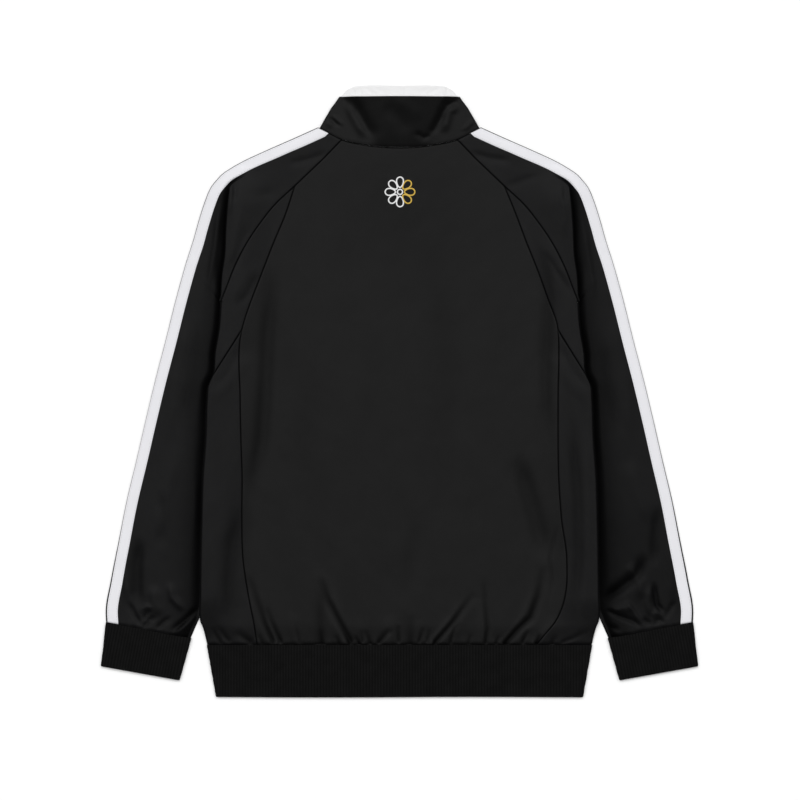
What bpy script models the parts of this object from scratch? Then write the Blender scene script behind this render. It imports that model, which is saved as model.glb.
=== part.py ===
"""A zipped windbreaker laid flat on a table, front down and back up.

The panels lie on each other the way the sewn garment does: the fronts and the front halves of the
sleeves rest on the table, the back halves lie over them, and below the armholes each arm passes
under the side of the body.  +X is the right side of the picture, +Y points from hem to collar, +Z is
up off the table, and the origin is on the table under the middle of the garment.  Tables and sizes
are in millimetres and are turned into metres where a mesh is made.
"""

import math
from collections import namedtuple

import bmesh
import bpy
from mathutils import Vector

MM = 0.001

# ---- driving sizes, millimetres -----------------------------------------------------------------
CLOTH = 1.2                 # wall of one layer of shell cloth
LINING = 1.0                # wall of the collar lining
TAPE = 1.0                  # wall of the sleeve tape
GAP = 0.3                   # clearance between layers and at seams
SEAM = 0.2                  # each piece stops this far short of its seam line
SLANT_SEAM = 0.4            # and this far, up the garment, at the slanted seam

HEM_TOP = -316.0            # seam of the ribbed hem band
HEM_BOTTOM = -381.5
HEM_TOP_HALF = 240.5        # half width of the band at its seam
HEM_BOTTOM_HALF = 229.0
RIB_WALL = 2.0
RIB_HEIGHT = 0.5
RIB_PITCH = 3.6

CENTRE_EDGE = 4.8           # front edges stop this far from the centre line
CHAIN_HALF = 4.5            # half width of the closed zip chain

TAPE_MARGIN = 1.0           # shell cloth showing outside the tape
TAPE_WIDTH = 13.5

INNER_SPACE = 2.5           # loft between the fronts and the back panels
FOLD_RISE = 2.4             # the back lies this much higher at the side folds
FOLD_REACH = 26.0           # this far in from the fold, or over a hidden arm if that is further in
FOLD_RAMP = 40.0            # and rises over this distance
ARM_UNDER = 3.0             # the fronts lie this high where the arms pass under them
ARM_RAMP = 26.0
ROLL = 3.0                  # the side panels roll down to the fronts over this distance
ROLL_SPACE = 0.3
SLEEVE_LOFT = 2.7           # loft inside an arm
SLEEVE_REST = 1.5           # underside of an arm's upper layer at its edges
DROP_RUN = 3.0              # the shoulder fold drops to the arm over this distance

SLIDER_LIFT = 3.05          # the fronts lie this high over the slider and its pull tab
SLIDER_LIFT_HALF = 8.0
SLIDER_LIFT_REACH = 55.0
SLIDER_LIFT_FROM = 265.0
SLIDER_LIFT_FULL = 320.0

# ---- pattern lines, one row for each knot --------------------------------------------------------
Knot = namedtuple("Knot", "y half")                 # height up the garment, half width there
TwoSided = namedtuple("TwoSided", "y left right")   # the same with unlike sides

OUTLINE = [Knot(*row) for row in (                  # shoulder and outer edge of the arm
    (331, 102), (317.5, 132), (302.5, 166), (287.5, 198), (280, 211), (272.5, 222), (265, 229),
    (257.5, 235), (250, 239), (242.5, 242), (215, 251), (190, 258), (165, 266), (115, 280),
    (65, 292.5), (15, 305.5), (-35, 317.5), (-85, 329), (-135, 341), (-185, 351), (-235, 361),
    (-275, 367.5), (-287.5, 367))]
RAGLAN = [Knot(*row) for row in (
    (315.5, 72), (290, 97), (257.5, 131), (234, 156), (212.5, 173), (187.5, 190), (159, 205),
    (127.5, 217.5), (112.5, 223.5))]
SIDE = [Knot(*row) for row in (                     # fold of the shoulder, then of the body's side
    (330, 205), (265, 212), (234, 215), (205, 217), (171, 218.5), (146, 222), (112.5, 223.5),
    (77.5, 226), (46, 231), (21, 233), (6, 239.5), (-10, 241), (-60, 243), (-110, 246.5),
    (-160, 248), (-210, 249), (-248, 249.5), (-285, 249.5), (-294, 246), (-303, 243.5),
    (-316, 240.5))]
PRINCESS = [TwoSided(*row) for row in (
    (257.5, 131, 131), (221, 143, 146), (187.5, 157, 158.5), (146, 173, 175), (115, 185, 186),
    (77.5, 197, 198), (-10, 199, 198), (-60, 198, 198), (-110, 196.5, 199), (-160, 197, 202.5),
    (-210, 195.5, 209), (-248, 190, 208), (-270, 186, 203), (-290, 182, 193), (-303, 180, 182),
    (-316, 178, 171))]
ARM_INNER = [Knot(*row) for row in (                # hidden edge of the arm under the body
    (104, 220), (77.5, 214), (46, 205), (21, 199), (-10, 196), (-60, 200), (-110, 207),
    (-160, 215), (-210, 226), (-248, 237), (-279, 249), (-307, 261))]
NECK = [(0, 305.6), (44, 309), (72, 315.5), (100, 330)]          # half width, height of the seam
COLLAR_SIDE = [Knot(*row) for row in (
    (369, 75.5), (362.5, 80), (355, 85.6), (347.5, 90), (340, 94.4), (330, 100))]
COLLAR_RISE = [(0, 12), (0.75, 12), (0.86, 9.5), (0.94, 5.5), (1, 0)]   # front's top over the back's

# the two layers of the collar: middle heights of the front and back, inset at the side folds, how
# far the top edge stands past the outer's, and whether the left front crosses the zip as a guard
CollarLayer = namedtuple("CollarLayer", "wall inset front_z back_z roll guard")
COLLAR_OUTER = CollarLayer(CLOTH, CLOTH / 2, CLOTH / 2, 5.2, 0.0, False)
COLLAR_LINING = CollarLayer(LINING, CLOTH + GAP + LINING / 2 + 1.2, CLOTH + GAP + LINING / 2, 3.8, 1.5,
                            True)
COLLAR_LOFT = 2.2           # the back of the collar stands this much higher at its middle
GUARD_START = 9.0           # the guard starts this far above the neck seam
GUARD_END = 12.0            # it ends this far past the centre line
GUARD_RISE = 1.4            # and lies this much over the lining's other end and the slider

# rows of the sleeve: where a row starts on the inner edge and ends on the outer edge
SleeveRow = namedtuple("SleeveRow", "inner outer drop")
SLEEVE_CAP = [SleeveRow(*row) for row in (
    (315.5, 331, 0), (303, 317.5, 0), (290, 302.5, 0), (273, 291, 0), (257.5, 280, 0.1),
    (234, 268, 0.45), (212.5, 255, 0.85), (187.5, 240, 1), (159, 215, 1), (127.5, 185, 1),
    (112.5, 165, 1))]
SLEEVE_ARM = [SleeveRow(*row) for row in (
    (104, 150, 1), (77.5, 115, 1), (46, 80, 1), (21, 50, 1), (-10, 15, 1), (-60, -35, 1),
    (-110, -85, 1), (-160, -135, 1), (-210, -185, 1), (-248, -225, 1), (-266, -247, 1),
    (-279, -262, 1), (-294, -275, 1), (-307, -287.5, 1))]

# largest folds of the back, gathered into the hem band: each is a ridge from its foot to its tip
Fold = namedtuple("Fold", "foot_x foot_y tip_x tip_y width height")
FOLDS = [Fold(*row) for row in (
    (-222, -316, -218, -278, 9, 1.0), (-198, -316, -200, -270, 8, 1.2),
    (-156, -316, -187, -247, 9, 2.0), (-128, -316, -136, -276, 7, 0.9),
    (-66, -316, -97, -225, 10, 2.2), (-46, -316, -50, -280, 6, 1.0),
    (-14, -316, -10, -278, 7, 1.1), (16, -316, 22, -284, 7, 0.9),
    (44, -316, 91, -258, 9, 2.0), (106, -316, 101, -258, 8, 1.5),
    (129, -316, 176, -235, 9, 1.9), (169, -316, 200, -283, 8, 1.3),
    (213, -316, 232, -283, 8, 1.1), (-236, -20, -170, 60, 11, 0.9),
    (240, -20, 172, 64, 11, 0.9))]

# gathers of the sleeve into its cuff: place across the arm (0 inner, 1 outer), length, height
Gather = namedtuple("Gather", "across length height")
GATHERS = [Gather(*row) for row in (
    (0.12, 34, 1.4), (0.30, 46, 1.8), (0.47, 30, 1.2), (0.64, 40, 1.6), (0.80, 26, 1.0))]
GATHER_WIDTH = 0.06

# ---- zip slider and pull tab ----------------------------------------------------------------------
SLIDER_Y = 358.0            # middle of the slider
SLIDER_LENGTH = 13.0
SLIDER_HALF = 4.2
PLATE = 0.7                 # wall of a slider plate
BAR_Y = 355.0               # axis of the pull tab's bar
BAR_Z = 1.4
BAR_RADIUS = 0.38
BAR_SIDES = 16
BAR_HALF = 1.7              # the bar's ends sit inside the tab's two prongs
PULL_LENGTH = 24.0
PULL_HALF = 3.0
PULL_WALL = 0.8
PRONG_END = 0.42            # the prongs end this far past the bar's axis, to turn clear of the slider
SLOT_HALF = 1.2
SLOT_END = 3.2
PULL_REST = 0.03            # the tab's lower end lies this close to the table
ZIP_TOP = 362.0             # end of the closed chain, inside the slider

# ---- colours ----------------------------------------------------------------------------------------
SHELL_BLACK = (0.016, 0.016, 0.017, 1)
SIDE_BLACK = (0.013, 0.013, 0.014, 1)
RIB_BLACK = (0.008, 0.008, 0.008, 1)
TAPE_WHITE = (0.80, 0.80, 0.82, 1)
ZIP_BLACK = (0.02, 0.02, 0.02, 1)


def clear_scene():
    """Removes whatever the file holds."""
    for thing in list(bpy.data.objects):
        bpy.data.objects.remove(thing, do_unlink=True)


def material(name, colour, roughness, metallic=0.0):
    """A Principled material."""
    made = bpy.data.materials.new(name)
    made.use_nodes = True
    shader = made.node_tree.nodes["Principled BSDF"]
    shader.inputs["Base Color"].default_value = colour
    shader.inputs["Roughness"].default_value = roughness
    shader.inputs["Metallic"].default_value = metallic
    return made


# ---- reading the tables ---------------------------------------------------------------------------
def read(table, y, column="half"):
    """A table's column at a height, straight between its rows."""
    if y >= table[0].y:
        return getattr(table[0], column)
    for high, low in zip(table, table[1:]):
        if y >= low.y:
            share = (high.y - y) / (high.y - low.y)
            start = getattr(high, column)
            return start + share * (getattr(low, column) - start)
    return getattr(table[-1], column)


def read_pairs(pairs, value):
    """A rising list of (position, result), straight between its rows."""
    if value <= pairs[0][0]:
        return pairs[0][1]
    for low, high in zip(pairs, pairs[1:]):
        if value <= high[0]:
            return low[1] + (value - low[0]) / (high[0] - low[0]) * (high[1] - low[1])
    return pairs[-1][1]


def smooth(low, high, value):
    """0 below low, 1 above high, with a soft start and end."""
    share = min(1.0, max(0.0, (value - low) / (high - low)))
    return share * share * (3 - 2 * share)


def between(start, end, share):
    """A point, or a number, on the way from start to end."""
    if isinstance(start, tuple):
        return tuple(a + (b - a) * share for a, b in zip(start, end))
    return start + (end - start) * share


# ---- how high each layer lies ----------------------------------------------------------------------
def slider_lift(x, y):
    """The gentle rise of the front over the slider."""
    along = smooth(SLIDER_LIFT_FROM, SLIDER_LIFT_FULL, y)
    across = 1 - smooth(SLIDER_LIFT_HALF, SLIDER_LIFT_REACH, abs(x))
    return SLIDER_LIFT * along * across


def front_bottom(x, y):
    """Underside of the fronts: on the table, and over the arms beside the body."""
    below_armhole = 1 - smooth(114, 126, y)
    above_hem = smooth(-305, -288, y)
    inner = min(read(ARM_INNER, y), read(SIDE, y) - 2)
    over_arm = smooth(inner - 3 - ARM_RAMP, inner - 3, abs(x))
    return ARM_UNDER * below_armhole * above_hem * over_arm + slider_lift(x, y)


def fold_height(x, y):
    """Height that the gathered folds add at a point of the back."""
    total = 0.0
    for fold in FOLDS:
        along = Vector((fold.tip_x - fold.foot_x, fold.tip_y - fold.foot_y))
        offset = Vector((x - fold.foot_x, y - fold.foot_y))
        share = offset.dot(along) / along.length_squared
        if share > 1:
            continue
        aside = abs(offset.x * along.y - offset.y * along.x) / along.length
        width = fold.width * (0.7 + 0.5 * max(share, 0))
        total += fold.height * (1 - max(share, 0)) ** 0.8 * math.exp(-(aside / width) ** 2)
    return total


def back_bottom(x, y):
    """Underside of the back panels and of the shoulder part of the sleeves."""
    reach = min(read(ARM_INNER, y), read(SIDE, y) - FOLD_REACH)
    near_fold = smooth(reach + 6 - FOLD_RAMP, reach + 6, abs(x))
    rise = FOLD_RISE * smooth(-312, -255, y) * (1 - smooth(232, 285, y))
    loft = INNER_SPACE * (0.55 + 0.45 * smooth(-316, -290, y))
    return CLOTH + loft + rise * near_fold + slider_lift(x, y) + fold_height(x, y)


def rolled_edge(x, y):
    """Underside of a side panel where it rolls down to the front at the side fold."""
    return front_bottom(x, y) + CLOTH + GAP + ROLL_SPACE


def sleeve_gathers(across, distance):
    """Height that the gathers add near the cuff, at a distance from the cuff seam."""
    total = 0.0
    for gather in GATHERS:
        if distance < gather.length:
            fade = 1 - distance / gather.length
            total += gather.height * fade * math.exp(-((across - gather.across) / GATHER_WIDTH) ** 2)
    return total


# ---- meshes -----------------------------------------------------------------------------------------
def add_mesh(name, points, faces, look, collection, turn=False):
    """A mesh object from points in millimetres."""
    mesh = bpy.data.meshes.new(name)
    mesh.from_pydata([tuple(c * MM for c in point) for point in points], [], faces)
    if turn:
        mesh.flip_normals()
    mesh.materials.append(look)
    made = bpy.data.objects.new(name, mesh)
    collection.objects.link(made)
    return made


def give_wall(made, wall, offset=1.0):
    """Solidify: offset 1 puts the wall above the surface, 0 puts it on both sides."""
    solidify = made.modifiers.new("Wall", "SOLIDIFY")
    solidify.thickness = wall * MM
    solidify.offset = offset
    solidify.use_even_offset = offset == 0
    made.data.shade_smooth()
    return made


def grid_faces(rows, columns, missing=()):
    """The quads of a grid, apart from the missing (row, column) cells."""
    faces = []
    for row in range(rows - 1):
        for column in range(columns - 1):
            if (row, column) in missing:
                continue
            corner = row * columns + column
            faces.append((corner, corner + 1, corner + columns + 1, corner + columns))
    return faces


def sheet(name, rows, wall, look, collection, missing=()):
    """A shell from rows of points, with its wall above them."""
    points = [point for row in rows for point in row]
    across = Vector(rows[0][-1]) - Vector(rows[0][0])
    down = Vector(rows[-1][0]) - Vector(rows[0][0])
    faces_down = across.cross(down).z < 0
    made = add_mesh(name, points, grid_faces(len(rows), len(rows[0]), missing), look, collection,
                    turn=faces_down)
    return give_wall(made, wall)


def spread(start, end, count, height):
    """Points in a straight plan line from start to end, raised by height(x, y)."""
    row = []
    for step in range(count + 1):
        x, y = between(start, end, step / count)
        row.append((x, y, height(x, y)))
    return row


def neck_dip(x, y):
    """How far the neck seam's curve pulls a panel's row down."""
    corner = NECK[2][1]
    return min(0.0, read_pairs(NECK, abs(x)) - corner) * smooth(257.5, corner, y)


# ---- body -------------------------------------------------------------------------------------------
def make_back_centre(look, collection):
    """The centre back panel, neck seam to hem band, between raglan and princess seams."""
    heights = (315.5, 290, 257.5, 221, 187.5, 146, 115, 77.5, 30, -10, -60, -110, -160, -210,
               -248, -270, -290, -303, -316)
    columns = 30
    rows = []
    for y in heights:
        if y > 257.5:
            left = right = read(RAGLAN, y)
        else:
            left, right = read(PRINCESS, y, "left"), read(PRINCESS, y, "right")
        row = []
        for step in range(columns + 1):
            x = between(-left + SEAM, right - SEAM, step / columns)
            place = y + neck_dip(x, y)
            row.append((x, place, back_bottom(x, place)))
        rows.append(row)
    return sheet("back_centre", rows, CLOTH, look, collection)


def make_side_upper(side, sign, look, collection):
    """The upper side panel: from the top of the raglan and princess seams to the slanted seam."""
    pairs = ((254, 254), (235, 234), (221, 212.5), (205, 187.5), (187.5, 159), (165, 127.5),
             (146, 112.5), (115, 77.5), (95, 46), (77.5, 21))
    rows = []
    for inner_y, outer_y in pairs:
        inner = (sign * (read(PRINCESS, inner_y, side) + SEAM), inner_y)
        at_raglan = outer_y >= RAGLAN[-1].y
        edge = read(RAGLAN, outer_y) - SEAM if at_raglan else read(SIDE, outer_y)
        outer = (sign * edge, outer_y)
        share = 1 - min(ROLL, 0.3 * abs(outer[0] - inner[0])) / abs(outer[0] - inner[0])
        row = spread(inner, between(inner, outer, share), 4, back_bottom)
        row.append((*outer, back_bottom(*outer) if at_raglan else rolled_edge(*outer)))
        rows.append(row)
    rows[-1] = [(x, y + SLANT_SEAM, z) for x, y, z in rows[-1]]
    return sheet(f"back_side_upper_{side}", rows, CLOTH, look, collection)


def make_side_lower(side, sign, look, collection):
    """The lower side panel: from the slanted seam to the hem band, rolled down at its side fold."""
    pairs = ((77.5, 21), (50, 6), (20, -10), (-10, -30), (-60, -60), (-110, -110), (-160, -160),
             (-210, -210), (-248, -248), (-270, -268), (-290, -285), (-297, -294), (-303, -303),
             (-316, -316))
    rows = []
    for inner_y, outer_y in pairs:
        inner = (sign * (read(PRINCESS, inner_y, side) + SEAM), inner_y)
        outer = (sign * read(SIDE, outer_y), outer_y)
        share = 1 - ROLL / abs(outer[0] - inner[0])
        row = spread(inner, between(inner, outer, share), 5, back_bottom)
        row.append((*outer, rolled_edge(*outer)))
        rows.append(row)
    rows[0] = [(x, y - SLANT_SEAM, z) for x, y, z in rows[0]]
    return sheet(f"back_side_lower_{side}", rows, CLOTH, look, collection)


def make_front(side, sign, look, collection):
    """A front: from the zip to the raglan seam and the side fold, plain."""
    heights = (315.5, 305, 290, 257.5, 234, 212.5, 187.5, 159, 127.5, 112.5, 103, 77.5, 46, 21, 6,
               -10, -60, -110, -160, -210, -248, -285, -294, -303, -316)
    rows = []
    for y in heights:
        edge = read(RAGLAN, y) - SEAM if y >= RAGLAN[-1].y else read(SIDE, y)
        over_arm = min(read(ARM_INNER, y), edge - 2) - 3
        ramp = over_arm - ARM_RAMP
        places = [between(CENTRE_EDGE, ramp, share) for share in (0, 0.14, 0.36, 0.66, 1)]
        places += [between(ramp, over_arm, 0.5), over_arm, edge]
        row = []
        for x in places:
            place = y + neck_dip(x, y)
            row.append((sign * x, place, front_bottom(x, place)))
        rows.append(row)
    return sheet(f"front_{side}", rows, CLOTH, look, collection)


# ---- sleeves ----------------------------------------------------------------------------------------
def sleeve_lines(side_sign):
    """For each row: its ends in plan and its places of the fold, its foot and the tape's edges."""
    lines = []
    for number, row in enumerate(SLEEVE_CAP + SLEEVE_ARM):
        in_cap = number < len(SLEEVE_CAP)
        inner_half = read(RAGLAN, row.inner) + SEAM if in_cap else read(ARM_INNER, row.inner)
        inner = (side_sign * inner_half, row.inner)
        outer = (side_sign * read(OUTLINE, row.outer), row.outer)
        share = 0.5
        for _ in range(6):
            y = between(row.inner, row.outer, share)
            share = (read(SIDE, y) - inner_half) / (abs(outer[0]) - inner_half)
            share = min(0.94, max(0.03, share))
        if row.drop < 0.3:
            share = min(share, 0.45)
        length = math.dist(inner, outer)
        above, below = row.outer + 4, row.outer - 4
        edge = Vector((read(OUTLINE, below) - read(OUTLINE, above), below - above)).normalized()
        run = Vector((abs(outer[0]) - inner_half, row.outer - row.inner)).normalized()
        slant = max(0.5, abs(edge.x * run.y - edge.y * run.x))
        tape_in = 1 - (TAPE_WIDTH + TAPE_MARGIN) / slant / length
        tape_out = 1 - TAPE_MARGIN / slant / length
        foot = min(share + DROP_RUN / length, tape_in - 0.02)
        share = min(share, foot - 1.5 / length)
        lines.append((inner, outer, share, foot, tape_in, tape_out, length, row.drop, in_cap))
    return lines


def sleeve_height(x, y, share, foot, drop, in_cap, distance, position):
    """Underside of a sleeve's upper layer at a share of its row."""
    if in_cap and position <= share + 1e-6:
        return back_bottom(x, y)
    if not in_cap and position <= share + 1e-6:
        return SLEEVE_REST
    across = (position - foot) / (1 - foot)
    loft = SLEEVE_LOFT * math.sin(math.pi * min(1, max(0, across))) ** 0.7
    near_cuff = 1 - smooth(0, 45, distance)
    arm = SLEEVE_REST + 0.1 + loft * (1 - 0.45 * near_cuff) + 0.9 * near_cuff * (1 - across ** 6)
    arm += sleeve_gathers(across, distance) * (1 - smooth(0.86, 1.0, across))
    if drop < 1:
        blend = CLOTH + INNER_SPACE - (CLOTH + INNER_SPACE - SLEEVE_REST) * smooth(0.4, 1, across)
        arm = between(blend, arm, drop)
    return arm


def sleeve_rows(sign):
    """The rows of points of a sleeve's upper layer."""
    cuff_y = SLEEVE_ARM[-1].outer
    rows = []
    for inner, outer, share, foot, tape_in, tape_out, _, drop, in_cap in sleeve_lines(sign):
        places = [share * step / 3 for step in range(4)]
        places += [between(foot, tape_in, step / 8) for step in range(9)]
        places += [tape_out, 1.0]
        row = []
        for place in places:
            x, y = between(inner, outer, place)
            distance = outer[1] - cuff_y
            z = sleeve_height(x, y, share, foot, drop, in_cap, distance, place)
            row.append((x, y, z))
        rows.append(row)
    return rows


def make_sleeve_back(side, sign, look, collection):
    """The back half of a sleeve: shoulder, its fold over the arm, and the arm down to the cuff."""
    rows = sleeve_rows(sign)
    slit = [(len(SLEEVE_CAP) - 1, column) for column in range(4)]
    return sheet(f"sleeve_back_{side}", rows, CLOTH, look, collection, missing=slit)


def make_sleeve_front(side, sign, look, collection):
    """The front half of a sleeve, flat on the table."""
    rows = []
    for inner, outer, *_ in sleeve_lines(sign):
        rows.append(spread(inner, outer, 3, lambda x, y: 0.0))
    return sheet(f"sleeve_front_{side}", rows, CLOTH, look, collection)


def make_tape(side, sign, look, collection):
    """The woven tape, made from the sleeve's own points moved out past its wall."""
    lift = CLOTH + GAP
    rows = []
    source = sleeve_rows(sign)
    for number, row in enumerate(source):
        neighbours = source[max(0, number - 1)], source[min(len(source) - 1, number + 1)]
        strip = []
        for column in (-3, -2):
            along = Vector(neighbours[1][column]) - Vector(neighbours[0][column])
            across = Vector(row[column + 1]) - Vector(row[column - 1])
            normal = along.cross(across).normalized()
            normal = normal if normal.z > 0 else -normal
            strip.append(tuple(Vector(row[column]) + normal * lift))
        rows.append(strip)
    return sheet(f"tape_{side}", rows, TAPE, look, collection)


# ---- collar -----------------------------------------------------------------------------------------
def collar_point(fraction, layer, up, shape):
    """A point of the wrapped collar.

    fraction: -1 to 1 across; layer: 0 front, 1 back, or a share of the turn between them; up: 0 at
    the neck seam, 1 at the top edge.
    """
    turn = (shape.back_z - shape.front_z) / 2
    bulge = math.copysign(turn * math.sin(math.pi * layer), fraction)
    at_base = fraction * (NECK[-1][0] - shape.inset - turn) + bulge
    base = read_pairs(NECK, abs(at_base)) + 1.5 * GAP
    top = COLLAR_SIDE[0].y + shape.roll
    top += read_pairs(COLLAR_RISE, abs(fraction)) * (1 - min(1.0, layer * 1.5))
    y = between(base, top, up)
    x = fraction * (read(COLLAR_SIDE, y) - shape.inset - turn) + bulge
    if layer == 0:
        x = math.copysign(max(abs(x), CENTRE_EDGE), fraction)
    z = shape.front_z + turn * (1 - math.cos(math.pi * layer))
    loft = COLLAR_LOFT * math.cos(math.pi * fraction / 2) ** 2 * layer
    return x, y, z + slider_lift(x, y) + loft


def guard_point(x, up, shape):
    """A point of the lining's left front where it crosses the zip as a guard."""
    y = between(NECK[0][1] + GUARD_START, COLLAR_SIDE[0].y + shape.roll + COLLAR_RISE[0][1], up)
    return x, y, shape.front_z + slider_lift(x, y) + GUARD_RISE


def make_collar(name, shape, look, collection):
    """One layer of the stand collar, wrapped from front edge to front edge."""
    path = [(-0.0001, 0), (-0.28, 0), (-0.55, 0), (-0.75, 0), (-0.86, 0), (-0.94, 0), (-1, 0)]
    path += [(-1, 0.25), (-1, 0.5), (-1, 0.75)]
    path += [(share, 1) for share in (-1, -0.88, -0.72, -0.48, -0.24, 0)]
    path += [(-share, layer) for share, layer in reversed(path[:-1])]
    rows = []
    for step in range(5):
        up = step / 4
        row = [collar_point(share, layer, up, shape) for share, layer in path]
        if shape.guard:
            row = [guard_point(x, up, shape) for x in (GUARD_END, CENTRE_EDGE, -CENTRE_EDGE)] + row[1:]
        rows.append(row)
    points = [point for row in rows for point in row]
    made = add_mesh(name, points, grid_faces(len(rows), len(rows[0])), look, collection)
    return give_wall(made, shape.wall, offset=0.0)


# ---- ribbing ----------------------------------------------------------------------------------------
def ribbed_line(start, end, height, count):
    """A zigzag from start to end in (across, z): a rib's crest, then its valley."""
    points = []
    for step in range(2 * count + 1):
        across, z = between(start, end, step / (2 * count))
        points.append((across, z + (height if step % 2 else 0.0)))
    return points


def half_circle(centre, radius, first, last, steps):
    """Points of an arc in (across, z) between two angles in degrees, ends left out."""
    points = []
    for step in range(1, steps):
        angle = math.radians(between(first, last, step / steps))
        points.append((centre[0] + radius * math.cos(angle), centre[1] + radius * math.sin(angle)))
    return points


def hem_section(half, wall_back):
    """The hem band cut across: an open wrap, ribbed over a plain inside, ends at the zip."""
    inner_space = 0.6
    low = RIB_WALL
    high = low + inner_space
    top = high + wall_back
    outer_radius = top / 2
    inner_radius = inner_space / 2
    bend = half - outer_radius
    ribs = round(2 * HEM_TOP_HALF / RIB_PITCH)
    outer = [(-CENTRE_EDGE, 0), (-bend, 0)]
    outer += half_circle((-bend, top / 2), outer_radius, 270, 90, 4)
    outer += ribbed_line((-bend, top), (bend, top), RIB_HEIGHT * wall_back / RIB_WALL, ribs)
    outer += half_circle((bend, top / 2), outer_radius, 90, -90, 4)
    outer += [(bend, 0), (CENTRE_EDGE, 0)]
    inner = [(CENTRE_EDGE, low), (bend, low)]
    inner += half_circle((bend, low + inner_radius), inner_radius, -90, 90, 3)
    inner += [(bend, high), (-bend, high)]
    inner += half_circle((-bend, low + inner_radius), inner_radius, 90, 270, 3)
    inner += [(-bend, low), (-CENTRE_EDGE, low)]
    return outer + inner


def loft(name, sections, look, collection):
    """A closed loft through like sections, with a flat face at each end."""
    count = len(sections[0])
    points = [point for section in sections for point in section]
    faces = []
    for level in range(len(sections) - 1):
        for step in range(count):
            following = (step + 1) % count
            here, there = level * count, (level + 1) * count
            faces.append((here + step, here + following, there + following, there + step))
    faces.append(tuple(reversed(range(count))))
    last = (len(sections) - 1) * count
    faces.append(tuple(range(last, last + count)))
    made = add_mesh(name, points, faces, look, collection)
    face_outwards(made)
    made.data.shade_smooth()
    made.data.set_sharp_from_angle(angle=math.radians(30))
    return made


def face_outwards(made):
    """Turns a closed mesh's faces outward."""
    work = bmesh.new()
    work.from_mesh(made.data)
    bmesh.ops.recalc_face_normals(work, faces=work.faces)
    if work.calc_volume(signed=True) < 0:
        bmesh.ops.reverse_faces(work, faces=work.faces)
    work.to_mesh(made.data)
    work.free()


def make_hem(look, collection):
    """The ribbed hem band, one piece from zip to zip round the back."""
    levels = ((HEM_TOP - GAP, 1.0), (HEM_BOTTOM + 5, 1.0), (HEM_BOTTOM, 0.7))
    sections = []
    for y, thick in levels:
        share = (HEM_TOP - y) / (HEM_TOP - HEM_BOTTOM)
        half = between(HEM_TOP_HALF, HEM_BOTTOM_HALF, share)
        sections.append([(x, y, z) for x, z in hem_section(half, RIB_WALL * thick)])
    return loft("hem_rib", sections, look, collection)


CUFF_TOP_INNER = (260.8, -307.6)
CUFF_TOP_OUTER = (366.8, -288.1)
CUFF_BOTTOM_INNER = (275.5, -360.5)
CUFF_BOTTOM_OUTER = (373.0, -343.0)


def cuff_loops(inner, outer, thick):
    """Outer and inner loops of a cuff between two plan points, as points in space."""
    length = math.dist(inner, outer)
    inner_space = 0.8
    low = RIB_WALL
    high = low + inner_space
    top = high + RIB_WALL * thick
    radius = top / 2
    ribs = round(math.dist(CUFF_TOP_INNER, CUFF_TOP_OUTER) / RIB_PITCH)
    over = ribbed_line((radius, top), (length - radius, top), RIB_HEIGHT * thick, ribs)
    outer_loop = [(radius, 0)] + half_circle((radius, top / 2), radius, 270, 90, 4) + over
    outer_loop += half_circle((length - radius, top / 2), radius, 90, -90, 4)
    outer_loop += [(length - radius, 0)]
    small = inner_space / 2
    inner_loop = [(radius, low)] + half_circle((radius, low + small), small, 270, 90, 2)
    inner_loop += [(radius, high), (length - radius, high)]
    inner_loop += half_circle((length - radius, low + small), small, 90, -90, 2)
    inner_loop += [(length - radius, low)]

    def placed(loop):
        return [(*between(inner, outer, across / length), z) for across, z in loop]

    return placed(outer_loop), placed(inner_loop)


def make_cuff(side, sign, look, collection):
    """A ribbed cuff: a flattened tube, ribbed over a plain inside."""
    levels = ((0, 1.0), (0.93, 1.0), (1, 0.7))
    points, rings = [], []
    for share, thick in levels:
        inner = between(CUFF_TOP_INNER, CUFF_BOTTOM_INNER, share)
        outer = between(CUFF_TOP_OUTER, CUFF_BOTTOM_OUTER, share)
        for loop in cuff_loops(inner, outer, thick):
            rings.append(range(len(points), len(points) + len(loop)))
            points += [(sign * x, y, z) for x, y, z in loop]
    faces = []
    for level in range(len(levels) - 1):
        for kind in (0, 1):
            here, there = rings[2 * level + kind], rings[2 * level + 2 + kind]
            for step in range(len(here)):
                following = (step + 1) % len(here)
                faces.append((here[step], here[following], there[following], there[step]))
    for level in (0, len(levels) - 1):
        outer_ring, inner_ring = rings[2 * level], rings[2 * level + 1]
        outer_turn, inner_turn = 2, 1                      # middle points of the inner edge's bends
        outer_far = len(outer_ring) - 3
        inner_far = len(inner_ring) - 2
        over = list(outer_ring[outer_turn:outer_far + 1])
        over += list(reversed(inner_ring[inner_turn:inner_far + 1]))
        under = list(outer_ring[outer_far:]) + list(outer_ring[:outer_turn + 1])
        under += list(reversed(list(inner_ring[inner_far:]) + list(inner_ring[:inner_turn + 1])))
        faces += [tuple(over), tuple(under)]
    made = add_mesh(f"cuff_{side}", points, faces, look, collection)
    face_outwards(made)
    made.data.shade_smooth()
    made.data.set_sharp_from_angle(angle=math.radians(30))
    return made


# ---- zip --------------------------------------------------------------------------------------------
def make_chain(look, collection):
    """The closed zip chain between the fronts, from the hem's bottom into the slider."""
    heights = [HEM_BOTTOM, -316, -200, -100, 0, 100, 200, 265]
    heights += [265 + 55 * step / 6 for step in range(1, 7)] + [340, ZIP_TOP]
    rows = []
    for y in heights:
        rows.append([(x, y, slider_lift(0, y)) for x in (-CHAIN_HALF, 0, CHAIN_HALF)])
    return sheet("zip_chain", rows, CLOTH, look, collection)


def prism_faces(count):
    """Faces of a prism whose points are two like rings, one after the other."""
    faces = [tuple(range(count)), tuple(reversed(range(count, 2 * count)))]
    for step in range(count):
        following = (step + 1) % count
        faces.append((step, following, count + following, count + step))
    return faces


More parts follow.
